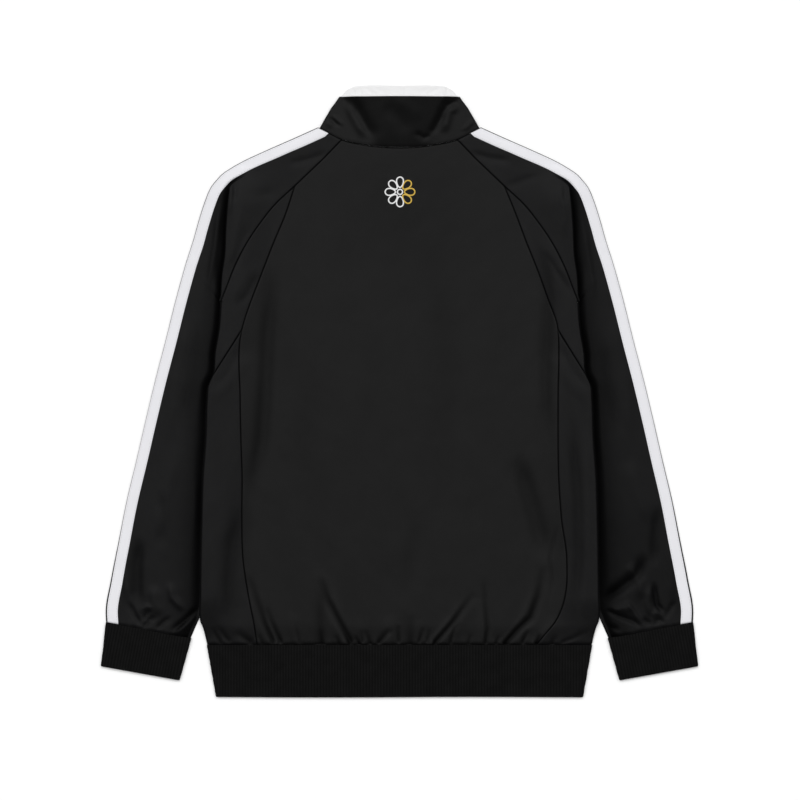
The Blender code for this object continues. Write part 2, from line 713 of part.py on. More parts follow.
def extrude_profile(name, profile, half, look, collection):
    """A (y, z) outline pushed out to both sides."""
    points = [(-half, y, z) for y, z in profile] + [(half, y, z) for y, z in profile]
    made = add_mesh(name, points, prism_faces(len(profile)), look, collection)
    face_outwards(made)
    return made


def make_slider(look, collection):
    """The slider: two plates joined by a wedge past the chain's end, and an arch for the pull."""
    back, front = SLIDER_Y - SLIDER_LENGTH / 2, SLIDER_Y + SLIDER_LENGTH / 2
    low = SLIDER_LIFT - GAP - PLATE
    under_chain = SLIDER_LIFT - GAP
    over_chain = SLIDER_LIFT + CLOTH + GAP
    top = over_chain + PLATE
    wedge = ZIP_TOP + GAP
    arch_from, arch_to = BAR_Y - 2.4, BAR_Y + 2.4
    opening_from, opening_to = BAR_Y - 1.5, BAR_Y + 1.5
    arch_inside = BAR_Z - BAR_RADIUS - 0.2
    arch_bottom = 0.02
    body = extrude_profile("zip_slider", [
        (back, low), (front, low), (front, top), (back, top), (back, over_chain),
        (wedge, over_chain), (wedge, under_chain), (back, under_chain)], SLIDER_HALF, look, collection)
    arch = extrude_profile("arch", [
        (arch_from, low + 0.3), (arch_from, arch_bottom), (arch_to, arch_bottom), (arch_to, low + 0.3),
        (opening_to, low + 0.3), (opening_to, arch_inside), (opening_from, arch_inside),
        (opening_from, low + 0.3)], 0.9, look, collection)
    union = body.modifiers.new("Arch", "BOOLEAN")
    union.operation = "UNION"
    union.object = arch
    return body, arch


def make_pull(look, collection):
    """The pull tab: a forked plate with a round bar under the slider's arch, resting on the table."""
    half_wall = PULL_WALL / 2
    tilt = math.asin((BAR_Z - half_wall - PULL_REST) / PULL_LENGTH)
    holder = bpy.data.objects.new("pull_axis", None)
    holder.location = (0, BAR_Y * MM, BAR_Z * MM)
    collection.objects.link(holder)
    corner_x = PULL_HALF - 1.5
    corner_y = 3 - PULL_LENGTH
    outline = [(-PULL_HALF, PRONG_END), (-PULL_HALF, corner_y), (-corner_x, -PULL_LENGTH),
               (corner_x, -PULL_LENGTH), (PULL_HALF, corner_y), (PULL_HALF, PRONG_END),
               (SLOT_HALF, PRONG_END), (SLOT_HALF, -SLOT_END), (-SLOT_HALF, -SLOT_END),
               (-SLOT_HALF, PRONG_END)]
    points = [(x, y, -half_wall) for x, y in outline] + [(x, y, half_wall) for x, y in outline]
    made = add_mesh("zip_pull", points, prism_faces(len(outline)), look, collection)
    ring = []
    for step in range(BAR_SIDES):
        angle = 2 * math.pi * (step + 0.5) / BAR_SIDES
        ring.append((BAR_RADIUS * math.cos(angle), BAR_RADIUS * math.sin(angle)))
    points = [(x, y, z) for x in (-BAR_HALF, BAR_HALF) for y, z in ring]
    bar = add_mesh("bar", points, prism_faces(BAR_SIDES), look, collection)
    for piece in (made, bar):
        face_outwards(piece)
        piece.parent = holder
        piece.rotation_euler = (tilt, 0, 0)
    union = made.modifiers.new("Bar", "BOOLEAN")
    union.operation = "UNION"
    union.object = bar
    return made, bar


def main():
    """Builds every piece."""
    clear_scene()
    collection = bpy.data.collections.new("windbreaker")
    guides = bpy.data.collections.new("cutters")
    bpy.context.scene.collection.children.link(collection)
    bpy.context.scene.collection.children.link(guides)
    make_back_centre(material("shell back", SHELL_BLACK, 0.6), collection)
    for side, sign in (("left", -1), ("right", 1)):
        shell = material(f"shell side {side}", SIDE_BLACK, 0.6)
        make_side_upper(side, sign, shell, collection)
        make_side_lower(side, sign, material(f"shell lower {side}", SIDE_BLACK, 0.6), collection)
        make_front(side, sign, material(f"shell front {side}", SIDE_BLACK, 0.6), collection)
        make_sleeve_back(side, sign, material(f"sleeve back {side}", SIDE_BLACK, 0.6), collection)
        make_sleeve_front(side, sign, material(f"sleeve front {side}", SIDE_BLACK, 0.6), collection)
        make_tape(side, sign, material(f"tape {side}", TAPE_WHITE, 0.7), collection)
        make_cuff(side, sign, material(f"cuff {side}", RIB_BLACK, 0.9), collection)
    make_collar("collar_outer", COLLAR_OUTER, material("collar outer", SHELL_BLACK, 0.6), collection)
    make_collar("collar_lining", COLLAR_LINING, material("collar lining", TAPE_WHITE, 0.7), collection)
    make_hem(material("hem rib", RIB_BLACK, 0.9), collection)
    make_chain(material("zip chain", ZIP_BLACK, 0.5), collection)
    _, arch = make_slider(material("zip slider", ZIP_BLACK, 0.35), collection)
    _, bar = make_pull(material("zip pull", ZIP_BLACK, 0.35), collection)
    for tool in (arch, bar):
        collection.objects.unlink(tool)
        guides.objects.link(tool)
        tool.hide_render = True
        tool.display_type = "WIRE"


main()
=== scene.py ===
import math

import bmesh
import bpy
import numpy as np
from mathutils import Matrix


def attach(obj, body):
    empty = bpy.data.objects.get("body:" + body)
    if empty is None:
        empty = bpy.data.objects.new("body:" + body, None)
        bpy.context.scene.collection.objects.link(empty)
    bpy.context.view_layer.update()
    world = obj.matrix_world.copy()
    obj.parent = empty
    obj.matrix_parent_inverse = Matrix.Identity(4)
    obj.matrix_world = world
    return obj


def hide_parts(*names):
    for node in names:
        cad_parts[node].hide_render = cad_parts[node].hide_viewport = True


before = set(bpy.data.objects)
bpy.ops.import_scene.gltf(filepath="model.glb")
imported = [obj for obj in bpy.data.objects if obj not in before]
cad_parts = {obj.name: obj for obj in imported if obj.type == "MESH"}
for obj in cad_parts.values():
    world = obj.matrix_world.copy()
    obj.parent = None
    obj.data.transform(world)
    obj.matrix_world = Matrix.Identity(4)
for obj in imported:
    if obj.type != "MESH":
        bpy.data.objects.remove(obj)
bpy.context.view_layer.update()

# Lengths are millimetres until a mesh is made. X runs to the right of the picture, Y from hem to collar.
mm = 0.001
scene = bpy.context.scene
sides = {"left": -1, "right": 1}

# the lines that the pattern pieces share, as (y, half width) rows from the top down
outlineRows = [(331, 102), (317.5, 132), (302.5, 166), (287.5, 198), (280, 211), (272.5, 222), (265, 229),
               (257.5, 235), (250, 239), (242.5, 242), (215, 251), (190, 258), (165, 266), (115, 280),
               (65, 292.5), (15, 305.5), (-35, 317.5), (-85, 329), (-135, 341), (-185, 351),
               (-235, 361), (-275, 367.5), (-287.5, 367)]
raglanRows = [(315.5, 72), (290, 97), (257.5, 131), (234, 156), (212.5, 173), (187.5, 190), (159, 205),
              (127.5, 217.5), (112.5, 223.5)]
sideRows = [(330, 205), (265, 212), (234, 215), (205, 217), (171, 218.5), (146, 222), (112.5, 223.5),
            (77.5, 226), (46, 231), (21, 233), (6, 239.5), (-10, 241), (-60, 243), (-110, 246.5),
            (-160, 248), (-210, 249), (-248, 249.5), (-285, 249.5), (-294, 246), (-303, 243.5),
            (-316, 240.5)]
princessRows = {
    "left": [(257.5, 131), (221, 143), (187.5, 157), (146, 173), (115, 185), (77.5, 197), (-10, 199),
             (-60, 198), (-110, 196.5), (-160, 197), (-210, 195.5), (-248, 190), (-270, 186),
             (-290, 182), (-303, 180), (-316, 178)],
    "right": [(257.5, 131), (221, 146), (187.5, 158.5), (146, 175), (115, 186), (77.5, 198),
              (-10, 198), (-60, 198), (-110, 199), (-160, 202.5), (-210, 209), (-248, 208),
              (-270, 203), (-290, 193), (-303, 182), (-316, 171)]}
armInnerRows = [(112.5, 223.5), (104, 220), (77.5, 214), (46, 205), (21, 199), (-10, 196), (-60, 200), (-110, 207),
                (-160, 215), (-210, 226), (-248, 237), (-279, 249), (-307, 261)]
neckRows = [(-100, 330), (-72, 315.5), (-44, 309), (0, 305.6), (44, 309), (72, 315.5), (100, 330)]
collarSideRows = [(369, 75.5), (362.5, 80), (355, 85.6), (347.5, 90), (340, 94.4), (330, 100)]


# 0 below low, 1 above high, with a soft start and end
def smooth(low, high, value):
    share = np.clip((value - low) / (high - low), 0, 1)
    return share * share * (3 - 2 * share)


# a smooth curve through (place, value) rows: between two knots it is the cubic that keeps their slopes,
# and a knot's slope is the weighted mean of the slopes on its two sides
def through(rows, place):
    table = np.array(sorted(rows), float)
    knots, values = table[:, 0], table[:, 1]
    step = np.diff(knots)
    slope = np.diff(values) / step
    middle = (slope[1:] * step[:-1] + slope[:-1] * step[1:]) / (step[1:] + step[:-1])
    middle = np.where(slope[1:] * slope[:-1] > 0, middle, 0.35 * middle)
    tangent = np.concatenate([slope[:1], middle, slope[-1:]])
    place = np.clip(place, knots[0], knots[-1])
    index = np.clip(np.searchsorted(knots, place) - 1, 0, len(step) - 1)
    width = step[index]
    t = (place - knots[index]) / width
    return ((1 + 2 * t) * (1 - t) ** 2 * values[index] + t * (1 - t) ** 2 * width * tangent[index]
            + t * t * (3 - 2 * t) * values[index + 1] + t * t * (t - 1) * width * tangent[index + 1])


# half widths of the pattern's lines at a height up the garment
def outline(y):
    return through(outlineRows, y)


# how far from the middle the raglan seam is at a height
def raglan(y):
    return through(raglanRows, y)


# how far from the middle the body's side fold is at a height
def sideFold(y):
    return through(sideRows, y)


# how far from the middle the arm's inner edge is at a height
def armInner(y):
    return through(armInnerRows, y)


# height of the neck seam at a place across
def neckSeam(x):
    return through(neckRows, x)


# distance from each point to a polyline, with the share of the line's length there and the side it is on
def toPath(x, y, path):
    points = np.array(path, float)
    parts = np.diff(points, axis=0)
    lengths = np.hypot(parts[:, 0], parts[:, 1])
    starts = np.concatenate([[0], np.cumsum(lengths)])
    best = np.full(x.shape, np.inf)
    along = np.zeros(x.shape)
    side = np.ones(x.shape)
    for number, length in enumerate(lengths):
        way = parts[number] / length
        px, py = x - points[number, 0], y - points[number, 1]
        reach = np.clip(px * way[0] + py * way[1], 0, length)
        qx, qy = px - reach * way[0], py - reach * way[1]
        distance = np.hypot(qx, qy)
        closer = distance < best
        best = np.where(closer, distance, best)
        along = np.where(closer, (starts[number] + reach) / starts[-1], along)
        side = np.where(closer, np.sign(way[0] * qy - way[1] * qx), side)
    return best, along, side


# Each fold is a ridge along a path, or a valley if its height is negative. Across the path it falls off as a
# bell, exp(-(distance / reach) squared), wider by lean on the path's left. A rooted fold is highest and narrowest
# at its first point; the others fade in and out over the first and last 0.3 of their length.
def foldRelief(x, y, folds, rooted=False, wider=1.0):
    total = np.zeros(x.shape)
    for height, width, lean, *path in folds:
        distance, along, side = toPath(x, y, path)
        reach = wider * width * (1 + lean * side)
        if rooted:
            reach = reach * (0.85 + 0.45 * along)
            fade = (1 - along) ** 0.8
        else:
            fade = smooth(0, 0.3, along) * (1 - smooth(0.7, 1, along))
        total += height * fade * np.exp(-(distance / reach) ** 2)
    return total


# names every free value that the body's cloth height uses
body = {
    "wall": 0.5,            # thickness of the shell cloth as shown
    "skin": 2.4,            # two walls of the solids: the back's face is this far over the fronts' inside
    "loft": 2.5,            # room between fronts and back
    "sideRise": 4.4,        # the back lies this much higher over the arms
    "armRise": 2.3,         # the fronts lie this high over the arms
    "zipLift": 3.05,        # and this high over the slider
    "zipLiftHalf": 55.0,    # the fronts come down this far to each side of the zip
    "backLiftFrom": 150.0,  # the back starts to rise over the slider here and comes down this far to each side
    "backLiftHalf": 125.0,
    "seamDepth": 0.75,      # how deep and how wide the cloth dips at a seam
    "seamWidth": 0.64,
    "seamRidge": 0.05,
    "neckDepth": 0.8,       # the same at the neck seam
    "neckWidth": 1.1,
    "hemDepth": 0.9,        # and where the cloth meets the hem ribbing
    "sideRoll": 3.0,        # radius of the side fold, seen from above
    "sideTurn": 9.0,        # the side panels end this far round on the front
    "ground": 0.12,
    # how strongly the folds below are pressed into the cloth
    "hemFoldGain": 0.85,
    "hemCreaseGain": 1.9,
    "creaseWidth": 1.45,
    "bodyGain": 1.3,
    "capGain": 1.2,
    # painted shade: how dark the cloth is painted down in its creases: the small ones at the hem, and the long soft
    # ones
    "hemShade": 0.55,
    "bodyShade": 0.22,
    # and the painted shade beside the seams of the hem and the neck
    "hemSeamShade": 0.3,
    "neckSeamShade": 0.6,
}

# the folds of the back: height, width, lean, then the path from the hem up
hemFolds = [
    (1.0, 9, 0, (-222, -316), (-218, -278)), (1.2, 8, 0.2, (-198, -316), (-200, -270)),
    (2.0, 8, 0.35, (-158, -316), (-172, -282), (-187, -247)), (0.9, 7, 0, (-128, -316), (-136, -276)),
    (2.2, 9, 0.4, (-66, -316), (-80, -272), (-97, -225)), (0.8, 6, 0, (-46, -316), (-50, -280)),
    (1.1, 7, 0.2, (-14, -316), (-10, -278)), (0.9, 7, 0, (16, -316), (22, -284)),
    (2.0, 8, -0.4, (40, -316), (66, -284), (91, -254)), (1.5, 8, 0, (104, -316), (101, -258)),
    (1.9, 8, -0.4, (129, -316), (152, -290), (176, -235)), (1.3, 8, -0.2, (169, -316), (200, -283)),
    (1.1, 8, 0, (213, -316), (232, -283))]
hemCreases = [
    (-1.4, 3.0, 0.2, (-158, -312), (-167, -291), (-178, -260), (-189, -229)),
    (-1.1, 2.0, 0, (-149, -312), (-160, -288), (-167, -268)),
    (-1.5, 3.0, 0.3, (-61, -312), (-77, -282), (-89, -260), (-98, -229)),
    (-0.7, 6, 0, (-98, -312), (-99, -285), (-98, -235)),
    (-0.8, 1.8, 0, (-224, -313), (-234, -294)), (-0.8, 1.8, 0, (-214, -311), (-228, -291)),
    (-0.9, 3.0, 0, (-187, -312), (-205, -299)), (-0.5, 1.8, 0, (-125, -313), (-131, -288)),
    (-0.5, 1.8, 0, (-97, -314), (-98, -297)), (-1.0, 1.6, 0, (-50, -315), (-56, -305)),
    (-0.6, 1.6, 0, (-46, -312), (-48, -297)), (-0.8, 1.7, 0, (-37, -314), (-43, -297)),
    (-1.1, 2.0, 0.2, (-25, -313), (-15, -301), (-7, -299)), (-0.8, 1.8, 0, (-1, -312), (-2, -292)),
    (-0.7, 4.5, 0, (14, -313), (15, -279)), (-0.7, 1.8, 0, (25, -312), (30, -294)),
    (-0.6, 1.6, 0, (35, -312), (38, -296)),
    (-1.4, 2.6, -0.2, (44, -313), (66, -288), (82, -266), (94, -250)),
    (-0.7, 1.8, 0, (64, -313), (68, -297), (76, -288)),
    (-1.0, 2.2, 0, (108, -313), (110, -297), (107, -266), (105, -235)),
    (-1.8, 3.2, -0.2, (132, -314), (147, -297), (163, -282), (172, -257), (179, -219)),
    (-0.8, 1.8, 0, (154, -313), (161, -297)), (-1.2, 2.0, 0, (171, -314), (177, -303)),
    (-0.6, 1.8, 0, (204, -313), (219, -307), (238, -297)), (-0.6, 1.6, 0, (-172, -314), (-176, -303)),
    (-0.6, 1.7, 0, (190, -314), (197, -304)), (-0.6, 1.7, 0, (-76, -314), (-80, -303)),
    (-0.5, 1.6, 0, (86, -314), (89, -303)), (-0.6, 1.6, 0, (121, -314), (124, -304))]
bodyCreases = [
    (-1.3, 9, 0, (-198, -140), (-209, -191), (-212, -235), (-213, -300)),
    (0.5, 8, 0, (-233, -90), (-232, -210), (-231, -290)),
    (-1.7, 9, 0, (-190, -150), (-172, -60), (-168, 2), (-164, 78), (-157, 170)),
    (-0.7, 1.7, 0, (199, -160), (188, -210), (190.6, -235), (189, -265)),
    (-1.4, 7, 0, (214, -20), (223, -135), (224, -210), (217, -300)),
    (0.5, 6, 0, (233, -40), (238, -210)),
    (-1.7, 11, 0, (184, -215), (169, -154), (147, -75)),
    (-1.2, 8, 0, (174, 200), (186, 115), (182, 15), (185, -85)),
    (0.35, 8, 0.2, (172, 196), (194, 159), (221, 136)),
    (-0.5, 4, 0, (180, 178), (200, 146), (217, 118)),
    (0.3, 8, 0, (-214, 110), (-193, 140), (-170, 166)),
    (-0.4, 5, 0, (-206, 104), (-190, 122), (-176, 150)),
    (0.3, 10, 0.3, (-238, -18), (-206, 20), (-172, 58)), (0.35, 10, -0.3, (240, -18), (206, 22), (174, 62)),
    (-0.3, 5, 0, (-236, -2), (-214, 24), (-196, 60)), (-0.35, 5, 0, (238, 0), (216, 26), (198, 62)),
    (0.35, 16, 0, (-60, 240), (-40, 60), (-66, -120)), (-0.35, 18, 0, (30, 200), (62, 40), (40, -160)),
    (0.3, 14, 0, (110, 120), (96, -60), (120, -190)), (-0.3, 15, 0, (-110, 60), (-118, -80), (-92, -200)),
    (0.3, 10, 0, (-30, -120), (-10, -240)), (-0.3, 10, 0, (24, -140), (4, -270))]
capCreases = [
    (-0.7, 5, 0, (84, 300), (112, 292), (144, 288)), (-0.5, 5, 0, (128, 254), (157, 265), (180, 272)),
    (-0.6, 5, 0, (-86, 300), (-112, 291), (-142, 284)), (-0.45, 6, 0, (-150, 250), (-176, 246), (-200, 250)),
    (-0.9, 2.2, 0, (-206, 266), (-205, 250), (-208, 236)), (0.7, 2.4, 0, (-211, 268), (-210, 245), (-213, 220)),
    (-0.8, 2.2, 0, (206, 268), (207, 252), (205, 236)), (0.6, 4, 0, (200, 262), (205, 230), (207, 190)),
    (0.5, 5, 0, (-196, 240), (-206, 190), (-214, 150)), (-0.5, 5, 0, (-188, 214), (-198, 180), (-210, 146))]


# how far the slider under the collar lifts the cloth
def zipLift(x, y):
    return body["zipLift"] * smooth(265, 320, y) * (1 - smooth(8, body["zipLiftHalf"], np.abs(x)))


# outer face of the fronts: on the table, and higher beside the body where the arms pass under
def frontFace(x, y):
    belowArmhole = 1 - smooth(114, 126, y)
    aboveHem = smooth(-305, -288, y)
    inner = np.minimum(armInner(y), sideFold(y) - 2)
    overArm = smooth(inner - 29, inner - 3, np.abs(x))
    return body["ground"] + body["armRise"] * belowArmhole * aboveHem * overArm + zipLift(x, y)


seamLines = []
for side, sign in sides.items():
    ys = np.linspace(315, 112.5, 60)
    seamLines.append(np.stack([sign * raglan(ys), ys], axis=1))
    ys = np.linspace(257.5, -316, 90)
    seamLines.append(np.stack([sign * through(princessRows[side], ys), ys], axis=1))
    seamLines.append(np.array([(sign * through(princessRows[side], 77.5), 77.5), (sign * 233.0, 21.0)]))


# The cloth dips at a seam, where its edges are turned in, and stands a little proud of itself beside the seam.
def seamRelief(x, y):
    nearest = np.full(x.shape, np.inf)
    for line in seamLines:
        distance, _, _ = toPath(x, y, line)
        nearest = np.minimum(nearest, distance)
    dip = body["seamDepth"] * np.exp(-(nearest / body["seamWidth"]) ** 2)
    return body["seamRidge"] * np.exp(-((nearest - 3.2) / 1.8) ** 2) - dip


# 1 on the neck seam, falling off as a bell of the given width below it
def nearNeck(x, y, width):
    return np.exp(-((neckSeam(x) - y) / width) ** 2) * (np.abs(x) < 104)


# Outer face of the back: a base height, a rise towards the arms, the lift over the slider, the listed
# folds, small gathers that die away from the hem, and the seams.
def backFace(x, y):
    reach = np.minimum(armInner(y), sideFold(y) - 26)
    nearSide = smooth(reach - 36, reach + 10, np.abs(x))
    rise = body["sideRise"] * smooth(-312, -255, y) * (1 - smooth(232, 285, y)) * nearSide
    room = body["loft"] * (0.55 + 0.45 * smooth(-316, -290, y))
    lift = body["zipLift"] * smooth(body["backLiftFrom"], 318, y) * (1 - smooth(8, body["backLiftHalf"], np.abs(x)))
    height = body["skin"] + room + rise + lift
    nearHem = np.exp(-(y + 316) / 7)
    gathers = 0.22 * np.sin(x / 2.9 + 1.3 * np.sin(x / 23)) + 0.2 * np.sin(x / 4.7 + 2)
    height = height + body["hemFoldGain"] * foldRelief(x, y, hemFolds, rooted=True)
    height = height + body["hemCreaseGain"] * foldRelief(x, y, hemCreases, rooted=True, wider=body["creaseWidth"])
    height = height + body["bodyGain"] * foldRelief(x, y, bodyCreases)
    height = height + body["capGain"] * foldRelief(x, y, capCreases)
    height = height - body["neckDepth"] * nearNeck(x, y, body["neckWidth"])
    height = height + gathers * nearHem - body["hemDepth"] * np.exp(-((y + 316.5) / 2.2) ** 2) + seamRelief(x, y)
    return height + (2.6 - height) * smooth(-315.6, -317.2, y)


# Painted shade: how deep in a crease each point lies, from 0 on the open cloth: the depths of the valleys alone,
# each held to 1, and a band beside the hem and neck seams.
def foldShade(x, y):
    small = np.clip(-foldRelief(x, y, hemCreases, rooted=True), 0, 1)
    long = np.clip(-foldRelief(x, y, bodyCreases), 0, 1)
    nearSeam = body["hemSeamShade"] * np.exp(-((y + 316) / 3.5) ** 2) + body["neckSeamShade"] * nearNeck(x, y, 1.7)
    return np.clip(body["hemShade"] * small + body["bodyShade"] * long + nearSeam, 0, 0.8)


# shares from 0 to 1 in even steps, with closer ones beside both ends for the turned-in edges
def edged(length, step, close=(0.5, 1.1, 1.9, 3.0, 4.4)):
    near = np.array(close) / length
    first = near[-1]
    count = max(3, int(round(length * (1 - 2 * first) / step)))
    return np.concatenate([[0], near[:-1], np.linspace(first, 1 - first, count), 1 - near[:-1][::-1], [1]])


# A grid of points in millimetres becomes quads. Every corner's UV is its distance over the cloth in metres,
# measured along the grid's two directions, so that a weave keeps its size. On ribbing, ribPlace is the distance
# round that the ribs are counted from. paintedShade is how much painted shade each point gets, from 0 to 1.
def gridPiece(name, x, y, z, material, rider, wall=0.0, flip=False, missing=None, offset=-1.0, weld=False,
              ribPlace=None, paintedShade=None):
    points = np.stack([x, y, z], axis=-1) * mm
    rows, columns = x.shape
    index = np.arange(rows * columns).reshape(rows, columns)
    quads = np.stack([index[:-1, :-1], index[1:, :-1], index[1:, 1:], index[:-1, 1:]], axis=-1)
    keep = np.ones(quads.shape[:2], bool) if missing is None else ~missing
    quads = quads[keep]
    if flip:
        quads = quads[:, ::-1]
    across = np.zeros((rows, columns))
    across[:, 1:] = np.cumsum(np.linalg.norm(np.diff(points, axis=1), axis=-1), axis=1)
    if ribPlace is not None:
        across = ribPlace * mm
    down = np.zeros((rows, columns))
    down[1:] = np.cumsum(np.linalg.norm(np.diff(points, axis=0), axis=-1), axis=0)
    uv = np.stack([across.ravel(), down.ravel()], axis=-1)
    return meshPiece(name, points.reshape(-1, 3), quads, uv, material, rider, wall, offset, weld, paintedShade)


# points in metres, faces and UV become a piece that rides on the named body, with a wall if it has one
def meshPiece(name, points, faces, uv, material, rider, wall=0.0, offset=-1.0, weld=False, paintedShade=None):
    mesh = bpy.data.meshes.new(name)
    mesh.from_pydata(np.asarray(points).tolist(), [], [list(map(int, face)) for face in faces])
    # the painted shade goes on each point as an attribute, which the cloth material darkens by
    if paintedShade is not None:
        layer = mesh.attributes.new("paintedShade", "FLOAT", "POINT")
        layer.data.foreach_set("value", np.asarray(paintedShade, np.float32).ravel())
    if uv is not None:
        layer = mesh.uv_layers.new(name="cloth")
        corners = np.zeros(len(mesh.loops), np.int32)
        mesh.loops.foreach_get("vertex_index", corners)
        layer.data.foreach_set("uv", np.asarray(uv, np.float32)[corners].ravel())
    work = bmesh.new()
    work.from_mesh(mesh)
    if weld:
        bmesh.ops.remove_doubles(work, verts=work.verts, dist=2e-6)
    loose = [v for v in work.verts if not v.link_faces]
    bmesh.ops.delete(work, geom=loose, context="VERTS")
    work.to_mesh(mesh)
    work.free()
    mesh.shade_smooth()
    mesh.materials.append(material)
    piece = bpy.data.objects.new(name, mesh)
    scene.collection.objects.link(piece)
    if wall:
        solid = piece.modifiers.new("wall", "SOLIDIFY")
        solid.thickness = wall * mm
        solid.offset = offset
    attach(piece, rider)
    return piece


print("materials")


# a node group with named sockets; kinds are "VALUE", "RGBA" and "VECTOR"
def newGroup(name, inputs, outputs):
    kinds = {"VALUE": "NodeSocketFloat", "RGBA": "NodeSocketColor", "VECTOR": "NodeSocketVector"}
    group = bpy.data.node_groups.new(name, "ShaderNodeTree")
    for label, kind, value in inputs:
        socket = group.interface.new_socket(label, in_out="INPUT", socket_type=kinds[kind])
        if value is not None:
            socket.default_value = value
    for label, kind in outputs:
        group.interface.new_socket(label, in_out="OUTPUT", socket_type=kinds[kind])
    return group, group.nodes.new("NodeGroupInput"), group.nodes.new("NodeGroupOutput")


# joins a source, a socket or a plain value, to an input
def feed(tree, source, target):
    if isinstance(source, bpy.types.NodeSocket):
        tree.links.new(source, target)
    else:
        target.default_value = source


# a node that does one sum on its inputs
def mathNode(tree, operation, *sources, clamp=False):
    node = tree.nodes.new("ShaderNodeMath")
    node.operation = operation
    node.use_clamp = clamp
    for number, source in enumerate(sources):
        feed(tree, source, node.inputs[number])
    return node.outputs[0]


# a noise whose scale, detail and roughness are given
def noiseNode(tree, vector, scale, detail=2.0, roughness=0.5):
    node = tree.nodes.new("ShaderNodeTexNoise")
    tree.links.new(vector, node.inputs["Vector"])
    feed(tree, scale, node.inputs["Scale"])
    node.inputs["Detail"].default_value = detail
    node.inputs["Roughness"].default_value = roughness
    return node.outputs["Fac"]


# a mix of two colours by a factor
def mixColour(tree, share, first, second):
    node = tree.nodes.new("ShaderNodeMix")
    node.data_type = "RGBA"
    feed(tree, share, node.inputs["Factor"])
    feed(tree, first, node.inputs["A"])
    feed(tree, second, node.inputs["B"])
    return node.outputs["Result"]


# Plain weave: the product of a sine across and a sine down, each thread a little uneven, and a slow cloud over it.
def weaveGroup():
    group, given, out = newGroup("weave", [("Place", "VECTOR", None), ("Threads", "VALUE", 1600.0),
                                           ("Unevenness", "VALUE", 0.4)],
                                 [("Height", "VALUE"), ("Cloud", "VALUE")])
    parts = group.nodes.new("ShaderNodeSeparateXYZ")
    group.links.new(given.outputs["Place"], parts.inputs[0])
    turn = mathNode(group, "MULTIPLY", given.outputs["Threads"], math.pi)
    wobble = noiseNode(group, given.outputs["Place"], 220.0)
    waves = []
    for axis in ("X", "Y"):
        angle = mathNode(group, "MULTIPLY", parts.outputs[axis], turn)
        shifted = mathNode(group, "ADD", angle, mathNode(group, "MULTIPLY", wobble, given.outputs["Unevenness"]))
        waves.append(mathNode(group, "SINE", shifted))
    product = mathNode(group, "MULTIPLY", waves[0], waves[1])
    group.links.new(mathNode(group, "MULTIPLY_ADD", product, 0.5, 0.5), out.inputs["Height"])
    slow = noiseNode(group, given.outputs["Place"], 26.0, 6.0, 0.72)
    group.links.new(slow, out.inputs["Cloud"])
    return group


# Rib knit: slanted stitches in two mirrored columns, from a sawtooth across that pushes the sine down sideways, and
# the crest of each rib as the absolute cosine of half a turn.
def knitGroup():
    group, given, out = newGroup("knit", [("Place", "VECTOR", None), ("Stitches", "VALUE", 900.0),
                                          ("Pitch", "VALUE", 0.0036)],
                                 [("Height", "VALUE"), ("Cloud", "VALUE"), ("Crest", "VALUE")])
    parts = group.nodes.new("ShaderNodeSeparateXYZ")
    group.links.new(given.outputs["Place"], parts.inputs[0])
    column = mathNode(group, "MULTIPLY", parts.outputs["X"], given.outputs["Stitches"])
    slant = mathNode(group, "PINGPONG", column, 0.5)
    row = mathNode(group, "MULTIPLY_ADD", parts.outputs["Y"], given.outputs["Stitches"], slant)
    wave = mathNode(group, "SINE", mathNode(group, "MULTIPLY", row, 2 * math.pi))
    edge = mathNode(group, "SINE", mathNode(group, "MULTIPLY", slant, 2 * math.pi))
    height = mathNode(group, "MULTIPLY", mathNode(group, "MULTIPLY_ADD", wave, 0.5, 0.5), edge)
    group.links.new(height, out.inputs["Height"])
    group.links.new(noiseNode(group, given.outputs["Place"], 60.0, 4.0, 0.65), out.inputs["Cloud"])
    ribs = mathNode(group, "DIVIDE", parts.outputs["X"], given.outputs["Pitch"])
    halfTurns = mathNode(group, "MULTIPLY", ribs, math.pi)
    crest = mathNode(group, "POWER", mathNode(group, "ABSOLUTE", mathNode(group, "COSINE", halfTurns)), 0.7)
    group.links.new(crest, out.inputs["Crest"])
    return group


# Painted crease shade: the colour goes to black, and what is kept of the gloss goes to 0, as the painted shade amount
# rises.
def paintedCreaseShadeGroup():
    group, given, out = newGroup("paintedCreaseShade", [("Colour", "RGBA", None), ("Depth", "VALUE", 0.0)],
                                 [("Colour", "RGBA"), ("Kept", "VALUE")])
    kept = mathNode(group, "SUBTRACT", 1.0, given.outputs["Depth"], clamp=True)
    group.links.new(mixColour(group, kept, [0, 0, 0, 1], given.outputs["Colour"]), out.inputs["Colour"])
    group.links.new(kept, out.inputs["Kept"])
    return group


# Wear: noise at two sizes, coarse for stains and fine for scratches.
def wearGroup():
    group, given, out = newGroup("wear", [("Place", "VECTOR", None), ("Coarse", "VALUE", 900.0),
                                          ("Fine", "VALUE", 5200.0)],
                                 [("Stain", "VALUE"), ("Scratch", "VALUE")])
    coarse = noiseNode(group, given.outputs["Place"], given.outputs["Coarse"], 3.0)
    fine = noiseNode(group, given.outputs["Place"], given.outputs["Fine"], 3.0, 0.6)
    group.links.new(coarse, out.inputs["Stain"])
    group.links.new(fine, out.inputs["Scratch"])
    return group


# Strand: fine slanted stripes round a thread, from 0 to 1 as a sine of the UV's length.
def strandGroup():
    group, given, out = newGroup("strand", [("Place", "VECTOR", None), ("Stripes", "VALUE", 2600.0)],
                                 [("Shade", "VALUE")])
    parts = group.nodes.new("ShaderNodeSeparateXYZ")
    group.links.new(given.outputs["Place"], parts.inputs[0])
    slanted = mathNode(group, "ADD", parts.outputs["Y"], mathNode(group, "MULTIPLY", parts.outputs["X"], 0.35))
    turn = mathNode(group, "MULTIPLY", given.outputs["Stripes"], math.pi)
    wave = mathNode(group, "SINE", mathNode(group, "MULTIPLY", slanted, turn))
    group.links.new(mathNode(group, "MULTIPLY_ADD", wave, 0.5, 0.5), out.inputs["Shade"])
    return group


